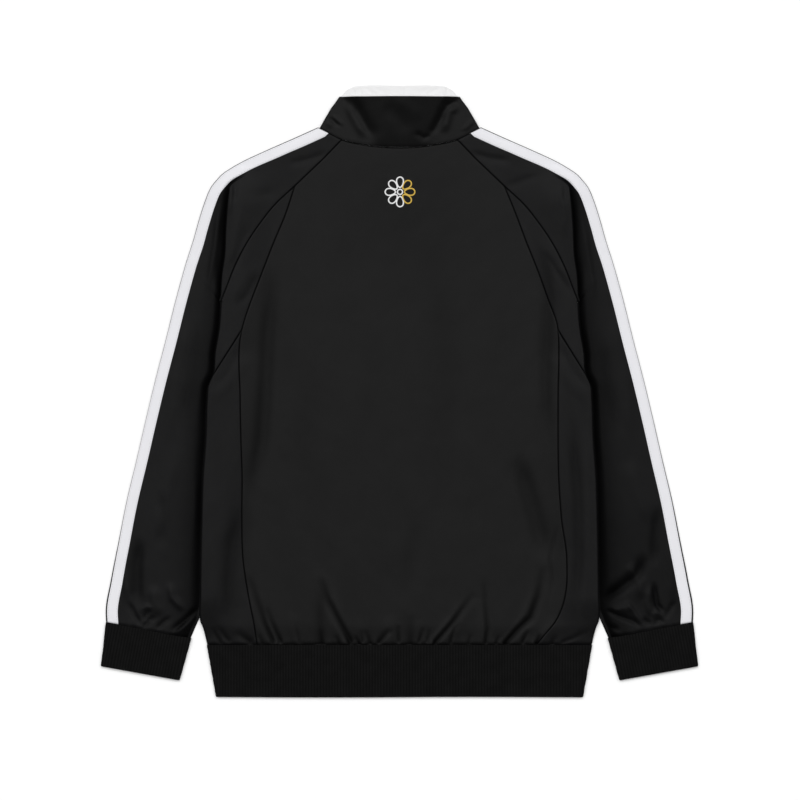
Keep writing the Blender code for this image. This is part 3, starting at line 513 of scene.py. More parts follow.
weave = weaveGroup()
knit = knitGroup()
paintedCreaseShade = paintedCreaseShadeGroup()
wear = wearGroup()
strand = strandGroup()


# places a group in a material and gives it its place on the surface
def placeGroup(tree, group, place):
    node = tree.nodes.new("ShaderNodeGroup")
    node.node_tree = group
    tree.links.new(place, node.inputs["Place"])
    return node


# the place on the cloth in metres, from the UV, for the groups that draw weave and wear
def clothPlace(tree):
    place = tree.nodes.new("ShaderNodeUVMap")
    place.uv_map = "cloth"
    return place.outputs[0]


# a bump of the given strength and distance that tilts the shader's normal by a height
def addBump(tree, height, strength, distance):
    bump = tree.nodes.new("ShaderNodeBump")
    bump.inputs["Strength"].default_value = strength
    bump.inputs["Distance"].default_value = distance * mm
    tree.links.new(height, bump.inputs["Height"])
    tree.links.new(bump.outputs[0], tree.nodes["Principled BSDF"].inputs["Normal"])


# an empty material and its shader
def newMaterial(name):
    material = bpy.data.materials.new(name)
    material.use_nodes = True
    return material, material.node_tree, material.node_tree.nodes["Principled BSDF"]


# A cloth finish: two shades mixed by the slow cloud, and the group's height as bump. The gloss is a plain value,
# and on dark cloth painted shade takes colour and gloss away in the creases and between the ribs.
def clothMaterial(name, look, group):
    material, tree, shader = newMaterial(name)
    node = placeGroup(tree, group, clothPlace(tree))
    node.inputs[1].default_value = look["threads"]
    shade = mathNode(tree, "MULTIPLY_ADD", node.outputs["Height"], look["grain"],
                     mathNode(tree, "MULTIPLY_ADD", node.outputs["Cloud"], 1.6, -0.3), clamp=True)
    dark = [value * look["darker"] for value in look["colour"]] + [1]
    light = [value * look["lighter"] for value in look["colour"]] + [1]
    colour = mixColour(tree, shade, dark, light)
    shader.inputs["Specular IOR Level"].default_value = look["gloss"]
    if look["shadedCreases"]:
        gloss = mathNode(tree, "MULTIPLY_ADD", node.outputs["Cloud"], look["gloss"] * 0.5, look["gloss"] * 0.75)
        if "Crest" in node.outputs:
            # painted shade in the grooves between the ribs: the colour there is 0.7 of its own, and the gloss is
            # halved
            paintedGrooveShade = [0.7 * value for value in look["colour"]] + [1]
            colour = mixColour(tree, node.outputs["Crest"], paintedGrooveShade, colour)
            gloss = mathNode(tree, "MULTIPLY", gloss, mathNode(tree, "MULTIPLY_ADD", node.outputs["Crest"], 0.5, 0.5))
        # the painted shade attribute darkens the colour and the gloss in the creases
        depth = tree.nodes.new("ShaderNodeAttribute")
        depth.attribute_name = "paintedShade"
        dim = tree.nodes.new("ShaderNodeGroup")
        dim.node_tree = paintedCreaseShade
        tree.links.new(colour, dim.inputs["Colour"])
        tree.links.new(depth.outputs["Fac"], dim.inputs["Depth"])
        colour = dim.outputs["Colour"]
        gloss = mathNode(tree, "MULTIPLY", gloss, dim.outputs["Kept"])
        tree.links.new(gloss, shader.inputs["Specular IOR Level"])
    tree.links.new(colour, shader.inputs["Base Color"])
    rough = mathNode(tree, "MULTIPLY_ADD", node.outputs["Cloud"], 0.12, look["roughness"] - 0.06)
    tree.links.new(rough, shader.inputs["Roughness"])
    addBump(tree, node.outputs["Height"], look["bump"], look["depth"])
    shader.inputs["Sheen Weight"].default_value = look["sheen"]
    shader.inputs["Sheen Roughness"].default_value = 0.5
    return material


clothLooks = {
    "shell": {"colour": (0.0026, 0.0026, 0.0026), "darker": 0.8, "lighter": 1.2, "grain": 0.3, "roughness": 0.44,
              "gloss": 0.088, "shadedCreases": True, "sheen": 0.0, "bump": 0.35, "depth": 0.08, "threads": 1500.0},
    # the same shell cloth with a little less gloss and a faint blue cast: painted shade and a painted tint of the
    # light on side panels and sleeves
    "shellPaintedShade": {"colour": (0.0025, 0.0025, 0.0027), "darker": 0.8, "lighter": 1.2, "grain": 0.3, "roughness": 0.44,
                  "gloss": 0.082, "shadedCreases": True, "sheen": 0.0, "bump": 0.35, "depth": 0.08, "threads": 1500.0},
    "rib": {"colour": (0.0029, 0.0029, 0.0029), "darker": 0.45, "lighter": 1.5, "grain": 0.3, "roughness": 0.8,
            "gloss": 0.08, "shadedCreases": True, "sheen": 0.0, "bump": 0.6, "depth": 0.2, "threads": 700.0},
    "tape": {"colour": (0.685, 0.683, 0.71), "darker": 0.94, "lighter": 1.03, "grain": 0.3, "roughness": 0.72,
             "gloss": 0.3, "shadedCreases": False, "sheen": 0.05, "bump": 0.5, "depth": 0.12, "threads": 1100.0},
    "lining": {"colour": (0.72, 0.72, 0.722), "darker": 0.94, "lighter": 1.03, "grain": 0.3, "roughness": 0.75,
               "gloss": 0.3, "shadedCreases": False, "sheen": 0.05, "bump": 0.4, "depth": 0.08, "threads": 1600.0},
    "zipTape": {"colour": (0.012, 0.012, 0.013), "darker": 0.8, "lighter": 1.25, "grain": 0.6, "roughness": 0.8,
                "gloss": 0.2, "shadedCreases": False, "sheen": 0.03, "bump": 0.6, "depth": 0.12, "threads": 1100.0},
}
cloth = {}
for name, look in clothLooks.items():
    cloth[name] = clothMaterial(name, look, knit if name == "rib" else weave)


# A hard finish with wear: stains change its colour, and scratches its roughness and bump.
def hardMaterial(name, look):
    material, tree, shader = newMaterial(name)
    node = placeGroup(tree, wear, tree.nodes.new("ShaderNodeTexCoord").outputs["Object"])
    stain, scratch = node.outputs["Stain"], node.outputs["Scratch"]
    light = [value * 1.5 for value in look["colour"]] + [1]
    tree.links.new(mixColour(tree, stain, [*look["colour"], 1], light), shader.inputs["Base Color"])
    tree.links.new(mathNode(tree, "MULTIPLY_ADD", scratch, 0.25, look["roughness"] - 0.1), shader.inputs["Roughness"])
    addBump(tree, scratch, 0.25, 0.02)
    shader.inputs["Metallic"].default_value = look["metal"]
    shader.inputs["Coat Weight"].default_value = look["coat"]
    return material


enamel = hardMaterial("enamel", {"colour": (0.014, 0.014, 0.015), "roughness": 0.38, "metal": 0.0, "coat": 0.3})
toothPlastic = hardMaterial("toothPlastic", {"colour": (0.012, 0.012, 0.013), "roughness": 0.5, "metal": 0.0,
                                             "coat": 0.0})


# thread: the strand's stripes change its colour, roughness and bump
def threadMaterial(name, colour):
    material, tree, shader = newMaterial(name)
    shade = placeGroup(tree, strand, clothPlace(tree)).outputs["Shade"]
    dark = [value * 0.8 for value in colour] + [1]
    tree.links.new(mixColour(tree, shade, dark, [*colour, 1]), shader.inputs["Base Color"])
    tree.links.new(mathNode(tree, "MULTIPLY_ADD", shade, -0.1, 0.55), shader.inputs["Roughness"])
    addBump(tree, shade, 0.5, 0.08)
    shader.inputs["Sheen Weight"].default_value = 0.1
    return material


whiteThread = threadMaterial("whiteThread", (0.8, 0.8, 0.8))
goldThread = threadMaterial("goldThread", (0.62, 0.40, 0.045))
tapeThread = threadMaterial("tapeThread", (0.6, 0.605, 0.62))

print("back")
bodyGrid = {"across": 1.95, "down": 3.5, "downAtHem": 2.2, "sideStep": 2.1, "frontStep": 5.0}


# how far the neck seam's curve pulls a row of a panel down
def neckDip(x, y):
    return np.minimum(0.0, neckSeam(x) - 315.5) * smooth(257.5, 315.5, y)


# The line where the cloth is gathered onto the hem ribbing wavers a little.
def hemWaver(x, y):
    wave = 0.45 * np.sin(x / 8.3 + 0.7 * np.sin(x / 31)) + 0.3 * np.sin(x / 3.7 + 1)
    return wave * smooth(-304, -315, y)


# Centre back: each row runs between the raglan or princess seams of the two sides, and the height comes from
# backFace.
def backCentre():
    upper = np.arange(311.0, -238.0, -bodyGrid["down"])
    lower = np.arange(-238.0, -312.5, -bodyGrid["downAtHem"])
    beside = [315.5, 315.0, 314.4, 313.6, 312.5, 257.5, -313.0, -314.0, -315.0, -316.0, -316.8, -317.4, -319.0]
    down = np.sort(np.unique(np.concatenate([upper, lower, beside])))[::-1]
    across = edged(400, bodyGrid["across"])
    left = np.where(down > 257.5, raglan(down), through(princessRows["left"], down)) - 0.1
    right = np.where(down > 257.5, raglan(down), through(princessRows["right"], down)) - 0.1
    x = -left[:, None] + (left + right)[:, None] * across
    y = np.repeat(down[:, None], len(across), axis=1)
    y = y + neckDip(x, y)
    y = y + hemWaver(x, y)
    return gridPiece("backCentrePanel", x, y, backFace(x, y), cloth["shell"], "jacket", wall=body["wall"],
                     paintedShade=foldShade(x, y))


backPanel = backCentre()
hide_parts("back_centre")


# Side back: rows run from the princess seam to the raglan seam or the side fold, and from the armhole down each
# goes on round the fold, a half ellipse, and ends on the front. The cells round the fold start below the armhole.
def sideBack(name, side, sign, innerYs, outerYs, topShift):
    shares = edged(50, bodyGrid["sideStep"], (0.5, 1.1, 1.9, 3.0))
    turn = np.linspace(90, -90, 11)[1:]
    under = np.linspace(0, 1, 5)[1:]
    ix = through(princessRows[side], innerYs) + 0.1
    ox = np.where(outerYs > 112.5, raglan(outerYs) - 0.1, sideFold(outerYs))
    rolled = outerYs <= 112.5
    length = np.hypot(ox - ix, outerYs - innerYs)
    roll = np.where(rolled, np.minimum(body["sideRoll"], 0.3 * length), 0.0)
    wx, wy = (ox - ix) / length, (outerYs - innerYs) / length

    def plan(distance):
        return sign * (ix[:, None] + wx[:, None] * distance), innerYs[:, None] + wy[:, None] * distance

    x, y = plan(shares * (length - roll)[:, None])
    slantRow = len(innerYs) - 1 if topShift > 0 else 0      # the row at the slanted seam
    y = y + topShift * (np.arange(len(innerYs)) == slantRow)[:, None]
    if innerYs[-1] < -310:
        y = y + hemWaver(x, y)
    z = backFace(x, y)
    edgeX, edgeY = plan((length - roll)[:, None])
    low, high = frontFace(edgeX, edgeY), z[:, -1:]
    angle = np.radians(turn)[None, :]
    tx, ty = plan((length - roll)[:, None] + roll[:, None] * np.cos(angle))
    tz = (low + high) / 2 + (high - low) / 2 * np.sin(angle)
    ux, uy = plan((length - roll)[:, None] - body["sideTurn"] * under[None, :])
    uz = frontFace(ux, uy)
    x, y, z = (np.concatenate(parts, axis=1) for parts in ((x, tx, ux), (y, ty, uy), (z, tz, uz)))
    cells = np.zeros((len(innerYs) - 1, x.shape[1] - 1), bool)
    cells[:, len(shares) - 1:] = ~(rolled[:-1] & rolled[1:])[:, None]
    return gridPiece(name, x, y, z, cloth["shellPaintedShade"], "jacket", wall=body["wall"], flip=sign < 0,
                     missing=cells, paintedShade=foldShade(x, y))


# heights at which a row meets the princess seam and the panel's other edge, from the top down
upperPairs = [(254, 254), (235, 234), (221, 212.5), (205, 187.5), (187.5, 159), (165, 127.5), (146, 112.5),
              (115, 77.5), (95, 46), (77.5, 21)]
lowerPairs = [(77.5, 21), (50, 6), (20, -10), (-10, -30), (-60, -60), (-110, -110), (-160, -160),
              (-210, -210), (-248, -248), (-270, -268), (-290, -285), (-297, -294), (-303, -303),
              (-316, -316)]
for side, sign in sides.items():
    for part, pairs, count, shift in (("Upper", upperPairs, 96, 0.15), ("Lower", lowerPairs, 156, -0.15)):
        table = np.array(pairs, float)
        outer = np.linspace(table[0, 1], table[-1, 1], count)
        nearest = np.argmin(np.abs(outer - 112.5))      # one row starts right at the armhole
        outer[nearest] = min(outer[nearest], 112.5)
        if part == "Lower":
            outer = np.concatenate([outer[:-1], [-314.6, -315.4, -316.2, -316.8, -317.4, -319.0]])
        inner = through([(o, i) for i, o in pairs], outer) + np.minimum(0, outer + 316)
        panel = sideBack(f"sideBack{part}{side.capitalize()}", side, sign, inner, outer, shift)
        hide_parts(f"back_side_{part.lower()}_{side}")


print("fronts")


# Fronts: rows run from the zip to the raglan seam, or to the seam where the side panel's turned edge ends.
def front(side, sign):
    down = np.concatenate([[316.6, 315.5], np.linspace(312, -312, 120), [-316, -317.5]])
    across = edged(240, bodyGrid["frontStep"], (0.8, 2.0))
    edge = np.where(down > 112.5, raglan(down) + 0.3, sideFold(down) - body["sideTurn"] - body["sideRoll"] + 0.1)
    x = sign * (4.8 + (edge - 4.8)[:, None] * across)
    y = np.repeat(down[:, None], len(across), axis=1)
    y = y + neckDip(x, y)
    z = frontFace(x, y) + 0.35 * np.exp(-((np.abs(x) - 14) / 0.8) ** 2)     # a line of sewing beside the zip
    return gridPiece(f"front{side.capitalize()}", x, y, z, cloth["shell"], "jacket", wall=body["wall"],
                     flip=sign > 0)


for side, sign in sides.items():
    piece = front(side, sign)
    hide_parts(f"front_{side}")


print("sleeves")
sleeve = {
    "rest": 1.7,            # face of the arm at its edges
    "loft": 6.0,            # and how much higher it is along its middle
    "creaseGain": 2.1,
    "gatherGain": 0.25,     # small gathers at the cuff
    # painted shade: darker beside the body and a little all over the arm and cap, more on the right, and in the
    # creases and at the cuff seam
    "paintedShade": 0.45,
    "shadeReach": 22.0,
    "paintedDark": {"left": 0.04, "right": 0.12},
    "capPaintedDark": 0.05,
    "creaseShade": 0.24,
    "cuffSeamShade": 0.25,
    # how far from the body the arm takes to rise, at each height
    "riseRun": {"left": [(262, 6), (238, 12), (190, 19), (150, 18), (115, 12), (60, 9), (0, 10), (-56, 14), (-91, 14),
                         (-140, 10), (-216, 14), (-262, 14), (-290, 9)],
                "right": [(262, 7), (238, 14), (190, 20), (140, 19), (112, 15), (60, 10), (0, 10), (-100, 12),
                          (-191, 15), (-279, 14), (-292, 9)]},
    "edge": 1.7,            # width of the rounded outer fold
    "tuck": 7.0,            # the shoulder's fold is this deep
    "lip": 1.7,             # radius of the shoulder's fold
    "dropRun": 1.3,         # the arm starts this far past the fold
    "wall": 0.5,
    "tapeWidth": 13.5,
}
# Rows of the sleeve: the height at which a row leaves the raglan seam or the arm's inner edge, the height at which
# it meets the outer fold, and how far the cloth has dropped there from the shoulder to the arm, from 0 to 1.
capRows = [(315.5, 331, 0), (303, 317.5, 0), (290, 302.5, 0), (273, 291, 0), (257.5, 280, 0.1),
           (234, 268, 0.45), (212.5, 255, 0.85), (187.5, 240, 1), (159, 215, 1), (127.5, 185, 1),
           (112.5, 165, 1)]
armRows = [(104, 150), (77.5, 115), (46, 80), (21, 50), (-10, 15), (-60, -35), (-110, -85), (-160, -135),
           (-210, -185), (-248, -225), (-266, -247), (-279, -262), (-294, -275), (-307.6, -288.2)]
sleeveTable = np.array(capRows + [(inner, outer, 1) for inner, outer in armRows], float)
lastCap = len(capRows) - 1

# folds of the arms above the cuffs and along the sleeve, listed for each side
sleeveCreases = {
    "left": [
        (-1.3, 7, 0, (-324, -180), (-328, -216), (-328, -250), (-323, -276)),
        (0.8, 2.0, 0, (-326, -274), (-317, -268), (-307, -271)),
        (-1.0, 2.0, 0, (-321, -286), (-317, -280), (-311, -271)),
        (-1.0, 2.0, 0, (-321, -297), (-312, -284), (-303, -281)),
        (-1.0, 2.0, 0, (-305, -298), (-293, -286), (-284, -282)),
        (-1.5, 2.4, 0, (-287, -301), (-268, -285), (-249, -266)),
        (0.9, 3.0, 0, (-284, -304), (-262, -289), (-247, -277)),
        (-0.9, 2.4, 0, (-338, -262), (-331, -279), (-322, -293)),
        (0.8, 4.0, 0, (-288, -236), (-284, -257), (-268, -275)),
        (0.8, 6.0, 0, (-308, -240), (-306, -262), (-300, -282)),
        (0.8, 5.0, 0, (-346, -180), (-343, -225), (-338, -270)),
        (-0.5, 6.0, 0, (-300, -120), (-296, -160), (-298, -200)),
        (0.5, 8.0, 0, (-262, 110), (-280, 20), (-290, -70)),
        (-0.5, 7.0, 0, (-252, 90), (-262, 10), (-276, -60)),
        (0.5, 9.0, 0, (-276, -60), (-292, -130), (-302, -190)),
        (0.6, 4.0, 0, (-224, 236), (-231, 180), (-241, 120))],
    "right": [
        (-1.6, 6.5, 0, (250, -266), (270, -249), (297, -229), (309, -200)),
        (-0.9, 6, 0, (323, -140), (319, -190), (319, -222)),
        (-1.5, 2.2, 0, (256, -271), (276, -280), (294, -287), (303, -295)),
        (0.9, 2.6, 0, (281, -258), (291, -272), (303, -292)),
        (-1.5, 2.6, 0, (317, -236), (322, -266), (333, -283)),
        (-1.0, 2.0, 0, (304, -283), (314, -291)),
        (0.9, 2.2, 0, (315, -282), (324, -273), (333, -281)),
        (0.8, 4.0, 0, (314, -240), (310, -263), (314, -283)),
        (-0.8, 2.2, 0, (331, -284), (338, -272), (345, -260)),
        (-0.8, 2.2, 0, (258, -290), (276, -298)),
        (0.9, 5.0, 0, (264, -276), (280, -270), (290, -276)),
        (0.8, 6.0, 0, (284, -212), (300, -238), (304, -262)),
        (0.6, 5.0, 0, (338, -180), (340, -230), (341, -270)),
        (-1.0, 1.8, 0, (318, -292), (324, -284), (332, -289)),
        (0.5, 8.0, 0, (262, 110), (282, 20), (292, -70)),
        (-0.5, 7.0, 0, (254, 70), (264, 0), (276, -60)),
        (0.5, 9.0, 0, (286, -80), (300, -130), (312, -170)),
        (0.5, 4.0, 0, (229, 220), (236, 170), (246, 110))]}


# The rows of a sleeve cross it from the raglan seam, or the arm's hidden inner edge, to the outer fold. Their
# number runs from 0 at the neck to 24 at the cuff, and the fold of the shoulder is where a row meets the side line.
def sleeveRows(number):
    inner = through(list(enumerate(sleeveTable[:, 0])), number)
    outer = through(list(enumerate(sleeveTable[:, 1])), number)
    drop = np.clip(through(list(enumerate(sleeveTable[:, 2])), number), 0, 1)
    inCap = number <= lastCap
    innerHalf = np.where(inCap, raglan(inner) + 0.1, armInner(inner))
    outerHalf = outline(outer)
    share = np.full(number.shape, 0.5)
    for _ in range(12):
        y = inner + (outer - inner) * share
        share = np.clip((sideFold(y) - innerHalf) / (outerHalf - innerHalf), 0.03, 0.94)
    share = share + (np.minimum(share, 0.45) - share) * (1 - smooth(0, 0.1, drop))
    length = np.hypot(outerHalf - innerHalf, outer - inner)
    wayX, wayY = (outerHalf - innerHalf) / length, (outer - inner) / length
    edgeX, edgeY = outline(outer - 4) - outline(outer + 4), -8.0
    edge = np.hypot(edgeX, edgeY)
    slant = np.maximum(0.5, np.abs(edgeX / edge * wayY - edgeY / edge * wayX))
    tapeIn = 1 - 14.5 / slant / length
    foot = np.minimum(share + sleeve["dropRun"] / length, tapeIn - 0.02)
    share = np.minimum(share, foot - 1.5 / length)
    return {"inner": inner, "outer": outer, "drop": drop, "inCap": inCap, "innerHalf": innerHalf,
            "length": length, "wayX": wayX, "wayY": wayY, "slant": slant, "fold": share * length,
            "foot": foot * length}


# the sleeve seen from above: each row runs from its inner height to its outer one in equal steps
def sleevePlan(rows, sign, distance):
    return (sign * (rows["innerHalf"][:, None] + rows["wayX"][:, None] * distance),
            rows["inner"][:, None] + rows["wayY"][:, None] * distance)


# Face of the arm: low beside the body, rising from there as a quarter sine, and low again at the outer fold, where
# it turns down as a quarter ellipse. Its folds are added from a list. Where the cloth hasn't dropped to the arm it is
# the back's own face, drawn down to the outer fold.
def armFace(rows, side, sign, distance):
    x, y = sleevePlan(rows, sign, distance)
    length, foot = rows["length"][:, None], rows["foot"][:, None]
    across = np.clip((distance - foot) / (length - foot), 0, 1)
    nearCuff = 1 - smooth(0, 45, rows["outer"][:, None] + 287.5)
    rise = np.sin(math.pi / 2 * np.clip((distance - foot) / through(sleeve["riseRun"][side], y), 0, 1))
    loft = sleeve["loft"] * rise * (1 - 0.85 * across ** 1.5)
    arm = sleeve["rest"] + 0.1 + loft * (1 - 0.3 * nearCuff) + 0.8 * nearCuff * (1 - across ** 6)
    calm = 1 - smooth(0.84, 0.97, across)
    arm = arm + sleeve["creaseGain"] * foldRelief(x, y, sleeveCreases[side]) * calm
    gathers = sleeve["gatherGain"] * np.sin(distance / 2.3 + 1.7 * np.sin(distance / 13))
    gathers = gathers + 0.8 * sleeve["gatherGain"] * np.sin(distance / 3.9)
    toCuff = rows["outer"][:, None] + 288.2
    arm = arm + (gathers * np.exp(-toCuff / 6) - 0.5 * np.exp(-(toCuff / 2.0) ** 2)) * calm
    drop = rows["drop"][:, None]
    drop = drop * smooth(0, 0.3, drop)
    shoulder = backFace(x, y)
    shoulder = shoulder + (2.7 - shoulder) * smooth(0.4, 1, across)
    face = shoulder + (arm - shoulder) * drop
    past = np.clip((distance - (length - sleeve["edge"])) / sleeve["edge"], 0, 1)
    half = (sleeve["rest"] - body["ground"]) / 2
    return face - half * (1 - np.sqrt(np.maximum(0, 1 - past ** 2)))


# A sleeve is one skin: shoulder, its fold tucked over the arm, the arm, round the outer fold, and back along the
# table to the other seam. A row of cells is left out where the shoulder ends and the arm runs on under the body.
def makeSleeve(side, sign):
    fine = np.linspace(0, len(sleeveTable) - 1, 3000)
    rows = sleeveRows(fine)
    track = np.hypot(np.diff(outline(rows["outer"])), np.diff(rows["outer"]))
    track = np.concatenate([[0], np.cumsum(track)])
    wanted = np.concatenate([np.linspace(0, track[-1] - 6, 252), track[-1] - np.array([4.4, 3, 2, 1.2, 0.5, 0])])
    number = np.interp(wanted, track, fine)
    number[np.argmin(np.abs(number - lastCap))] = lastCap
    rows = sleeveRows(number)
    length, fold, foot = (rows[key][:, None] for key in ("length", "fold", "foot"))
    inCap, drop = rows["inCap"][:, None], rows["drop"][:, None]
    folded = smooth(0.1, 0.75, drop)
    tuck = np.minimum(sleeve["tuck"], 0.6 * fold)
    lip = np.minimum(sleeve["lip"], 0.3 * fold)

    capShares = edged(80, 2.8, (0.5, 1.1, 1.9, 3.0))[None, :]
    capDistance = capShares * (fold - lip)
    turn = np.radians(np.linspace(90, -90, 9)[1:])[None, :]
    back = np.linspace(0, 1, 4)[1:][None, :]
    forth = np.linspace(0, 1, 6)[1:][None, :]
    foldedDistance = np.concatenate([fold - lip + lip * np.cos(turn), (fold - lip) + (lip - tuck) * back], axis=1)
    flatShare = np.linspace(0, 0.6, foldedDistance.shape[1] + 1)[1:][None, :]
    flatDistance = (fold - lip) + (foot - fold + lip) * flatShare
    lipDistance = flatDistance + (foldedDistance - flatDistance) * folded
    lowFolded = (fold - tuck) + (foot - fold + tuck) * forth
    lowFlat = (fold - lip) + (foot - fold + lip) * (0.6 + 0.4 * forth)
    lowDistance = lowFlat + (lowFolded - lowFlat) * folded

    hiddenCount = capShares.shape[1] + lipDistance.shape[1]
    hidden = 1.3 + (fold - tuck - 1.3) * np.linspace(0, 1, hiddenCount)[None, :]
    upperDistance = np.where(inCap, np.concatenate([capDistance, lipDistance], axis=1), hidden)
    lowDistance = np.where(inCap, lowDistance, lowFolded)

    x, y = sleevePlan(rows, sign, upperDistance)
    capFace = backFace(x, y)
    topHigh = capFace[:, capShares.shape[1] - 1][:, None]
    footFace = armFace(rows, side, sign, foot)
    radius = np.minimum(lip, (topHigh - sleeve["rest"] - 1.0) / 2)
    under = topHigh - 2 * radius
    foldedFace = np.concatenate([topHigh - radius + radius * np.sin(turn),
                                 under + (sleeve["rest"] + 0.75 - under) * back], axis=1)
    footStep = footFace - backFace(*sleevePlan(rows, sign, foot))
    flatFace = capFace[:, capShares.shape[1]:] + footStep * flatShare
    lipFace = flatFace + (foldedFace - flatFace) * folded
    capPart = np.concatenate([capFace[:, :capShares.shape[1]], lipFace], axis=1)
    upperFace = np.where(inCap, capPart, sleeve["rest"] + 0 * capPart)
    lowFoldedFace = sleeve["rest"] + (footFace - sleeve["rest"]) * forth ** 2
    lowFlatFace = backFace(*sleevePlan(rows, sign, lowFlat)) + footStep * (0.6 + 0.4 * forth)
    lowFace = np.where(inCap, lowFlatFace + (lowFoldedFace - lowFlatFace) * folded, lowFoldedFace)

    armShares = np.concatenate([np.linspace(0, 1, 46)[1:-1], [1]])[None, :]
    armDistance = foot + (length - sleeve["edge"] - foot) * armShares
    armZ = armFace(rows, side, sign, armDistance)
    quarter = np.radians(np.linspace(90, -90, 9)[1:])[None, :]
    roundDistance = length - sleeve["edge"] + sleeve["edge"] * np.cos(quarter)
    edgeTop = armZ[:, -1:]
    half = (edgeTop - body["ground"]) / 2
    roundZ = edgeTop - half + half * np.sin(quarter)
    start = np.where(inCap, 0.0, 1.3)
    belowDistance = (length - sleeve["edge"]) + (start - (length - sleeve["edge"])) * np.linspace(0, 1, 13)[None, 1:]
    belowZ = body["ground"] + 0 * belowDistance
    closing = np.radians(np.linspace(-90, 90, 7)[1:])[None, :]
    closeDistance = np.where(inCap, 0.0, 1.3 - 1.3 * np.cos(closing))
    middle = (sleeve["rest"] + body["ground"]) / 2
    closeZ = np.where(inCap, body["ground"], middle + (sleeve["rest"] - middle) * np.sin(closing))

    distance = np.concatenate([upperDistance, lowDistance, armDistance, roundDistance, belowDistance,
                               closeDistance], axis=1)
    x, y = sleevePlan(rows, sign, distance)
    z = np.concatenate([upperFace, lowFace, armZ, roundZ, belowZ, closeZ], axis=1)
    cells = np.zeros((x.shape[0] - 1, x.shape[1] - 1), bool)
    leaving = rows["inCap"][:-1] & ~rows["inCap"][1:]
    cells[np.ix_(leaving, np.arange(hiddenCount))] = True
    closingCells = np.zeros(x.shape[1] - 1, bool)
    closingCells[-closeDistance.shape[1]:] = True
    cells |= rows["inCap"][:-1, None] & closingCells[None, :]
    # Painted shade: darker beside the body, in the creases, at the cuff seam, and a little all over, more towards the
    # cuff and on the right
    beside = np.exp(-(np.maximum(0, distance - foot) / sleeve["shadeReach"]) ** 2) * (distance >= foot - 0.01)
    towardCuff = smooth(-110, -190, y) * (1 - smooth(-262, -284, y))
    onArm = drop * (distance >= foot - 0.01)
    inCreases = sleeve["creaseShade"] * np.clip(-foldRelief(x, y, sleeveCreases[side]), 0, 1.4) * onArm
    inCreases = inCreases + sleeve["cuffSeamShade"] * np.exp(-((rows["outer"][:, None] + 288.2) / 3) ** 2) * onArm
    paintedDark = sleeve["paintedDark"][side] * (1 + towardCuff) * drop + sleeve["capPaintedDark"] * (1 - drop)
    paintedShade = np.clip(sleeve["paintedShade"] * beside * drop + paintedDark + inCreases, 0, 0.8)
    piece = gridPiece(f"sleeve{side.capitalize()}", x, y, z, cloth["shellPaintedShade"], "jacket", wall=sleeve["wall"],
                      flip=sign < 0, missing=cells, weld=True, paintedShade=paintedShade)
    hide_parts(f"sleeve_back_{side}", f"sleeve_front_{side}")
    return piece


# The tape follows the sleeve's outer fold. Across its width it is a flat strip with rounded edges that turn down.
tape = {
    "lift": 0.25, "rise": 0.55, "wall": 0.35,
    # how far the tape lies in from the outer fold, at each height
    "inset": {"left": [(331, 1.0), (150, 0.5), (-150, 0.5), (-250, 1.6), (-288, 1.8)],
              "right": [(331, 1.0), (200, 0.6), (0, 0.5), (-120, 0.9), (-200, 1.6), (-288, 2.1)]},
    "stitchLength": 2.3, "stitchGap": 1.0, "stitchHalf": 0.24, "stitchInset": 1.7,
}


# the tape's face: the sleeve's own face at that place and a little over it
def tapeSurface(side, sign, number, places):
    rows = sleeveRows(number)
    length, slant = rows["length"][:, None], rows["slant"][:, None]
    inset = through(tape["inset"][side], rows["outer"])[:, None]
    distance = length - (inset + sleeve["tapeWidth"] * (1 - places)) / slant
    x, y = sleevePlan(rows, sign, distance)
    crown = tape["rise"] * (1 - np.abs(2 * places - 1) ** 9)
    wave = 0.12 * np.sin(rows["outer"][:, None] / 9.0) * np.sin(math.pi * places)
    return x, y, armFace(rows, side, sign, distance) + tape["lift"] + crown + wave


# row numbers in small steps, and how far along the outer fold each one lies
def alongOutline():
    fine = np.linspace(0, len(sleeveTable) - 1, 3000)
    outer = sleeveRows(fine)["outer"]
    track = np.concatenate([[0], np.cumsum(np.hypot(np.diff(outline(outer)), np.diff(outer)))])
    return fine, track


# the tape's grid, along the outer fold and across it from the inset to the turned edge
def makeTape(side, sign):
    fine, track = alongOutline()
    number = np.interp(np.linspace(1.0, track[-1] - 0.6, 300), track, fine)
    places = np.array([0, 0.02, 0.05, 0.1, 0.17, 0.3, 0.5, 0.7, 0.83, 0.9, 0.95, 0.98, 1])[None, :]
    x, y, z = tapeSurface(side, sign, number, places)
    piece = gridPiece(f"sleeveTape{side.capitalize()}", x, y, z, cloth["tape"], "jacket", wall=tape["wall"],
                      flip=sign < 0)
    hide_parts(f"tape_{side}")
    return piece


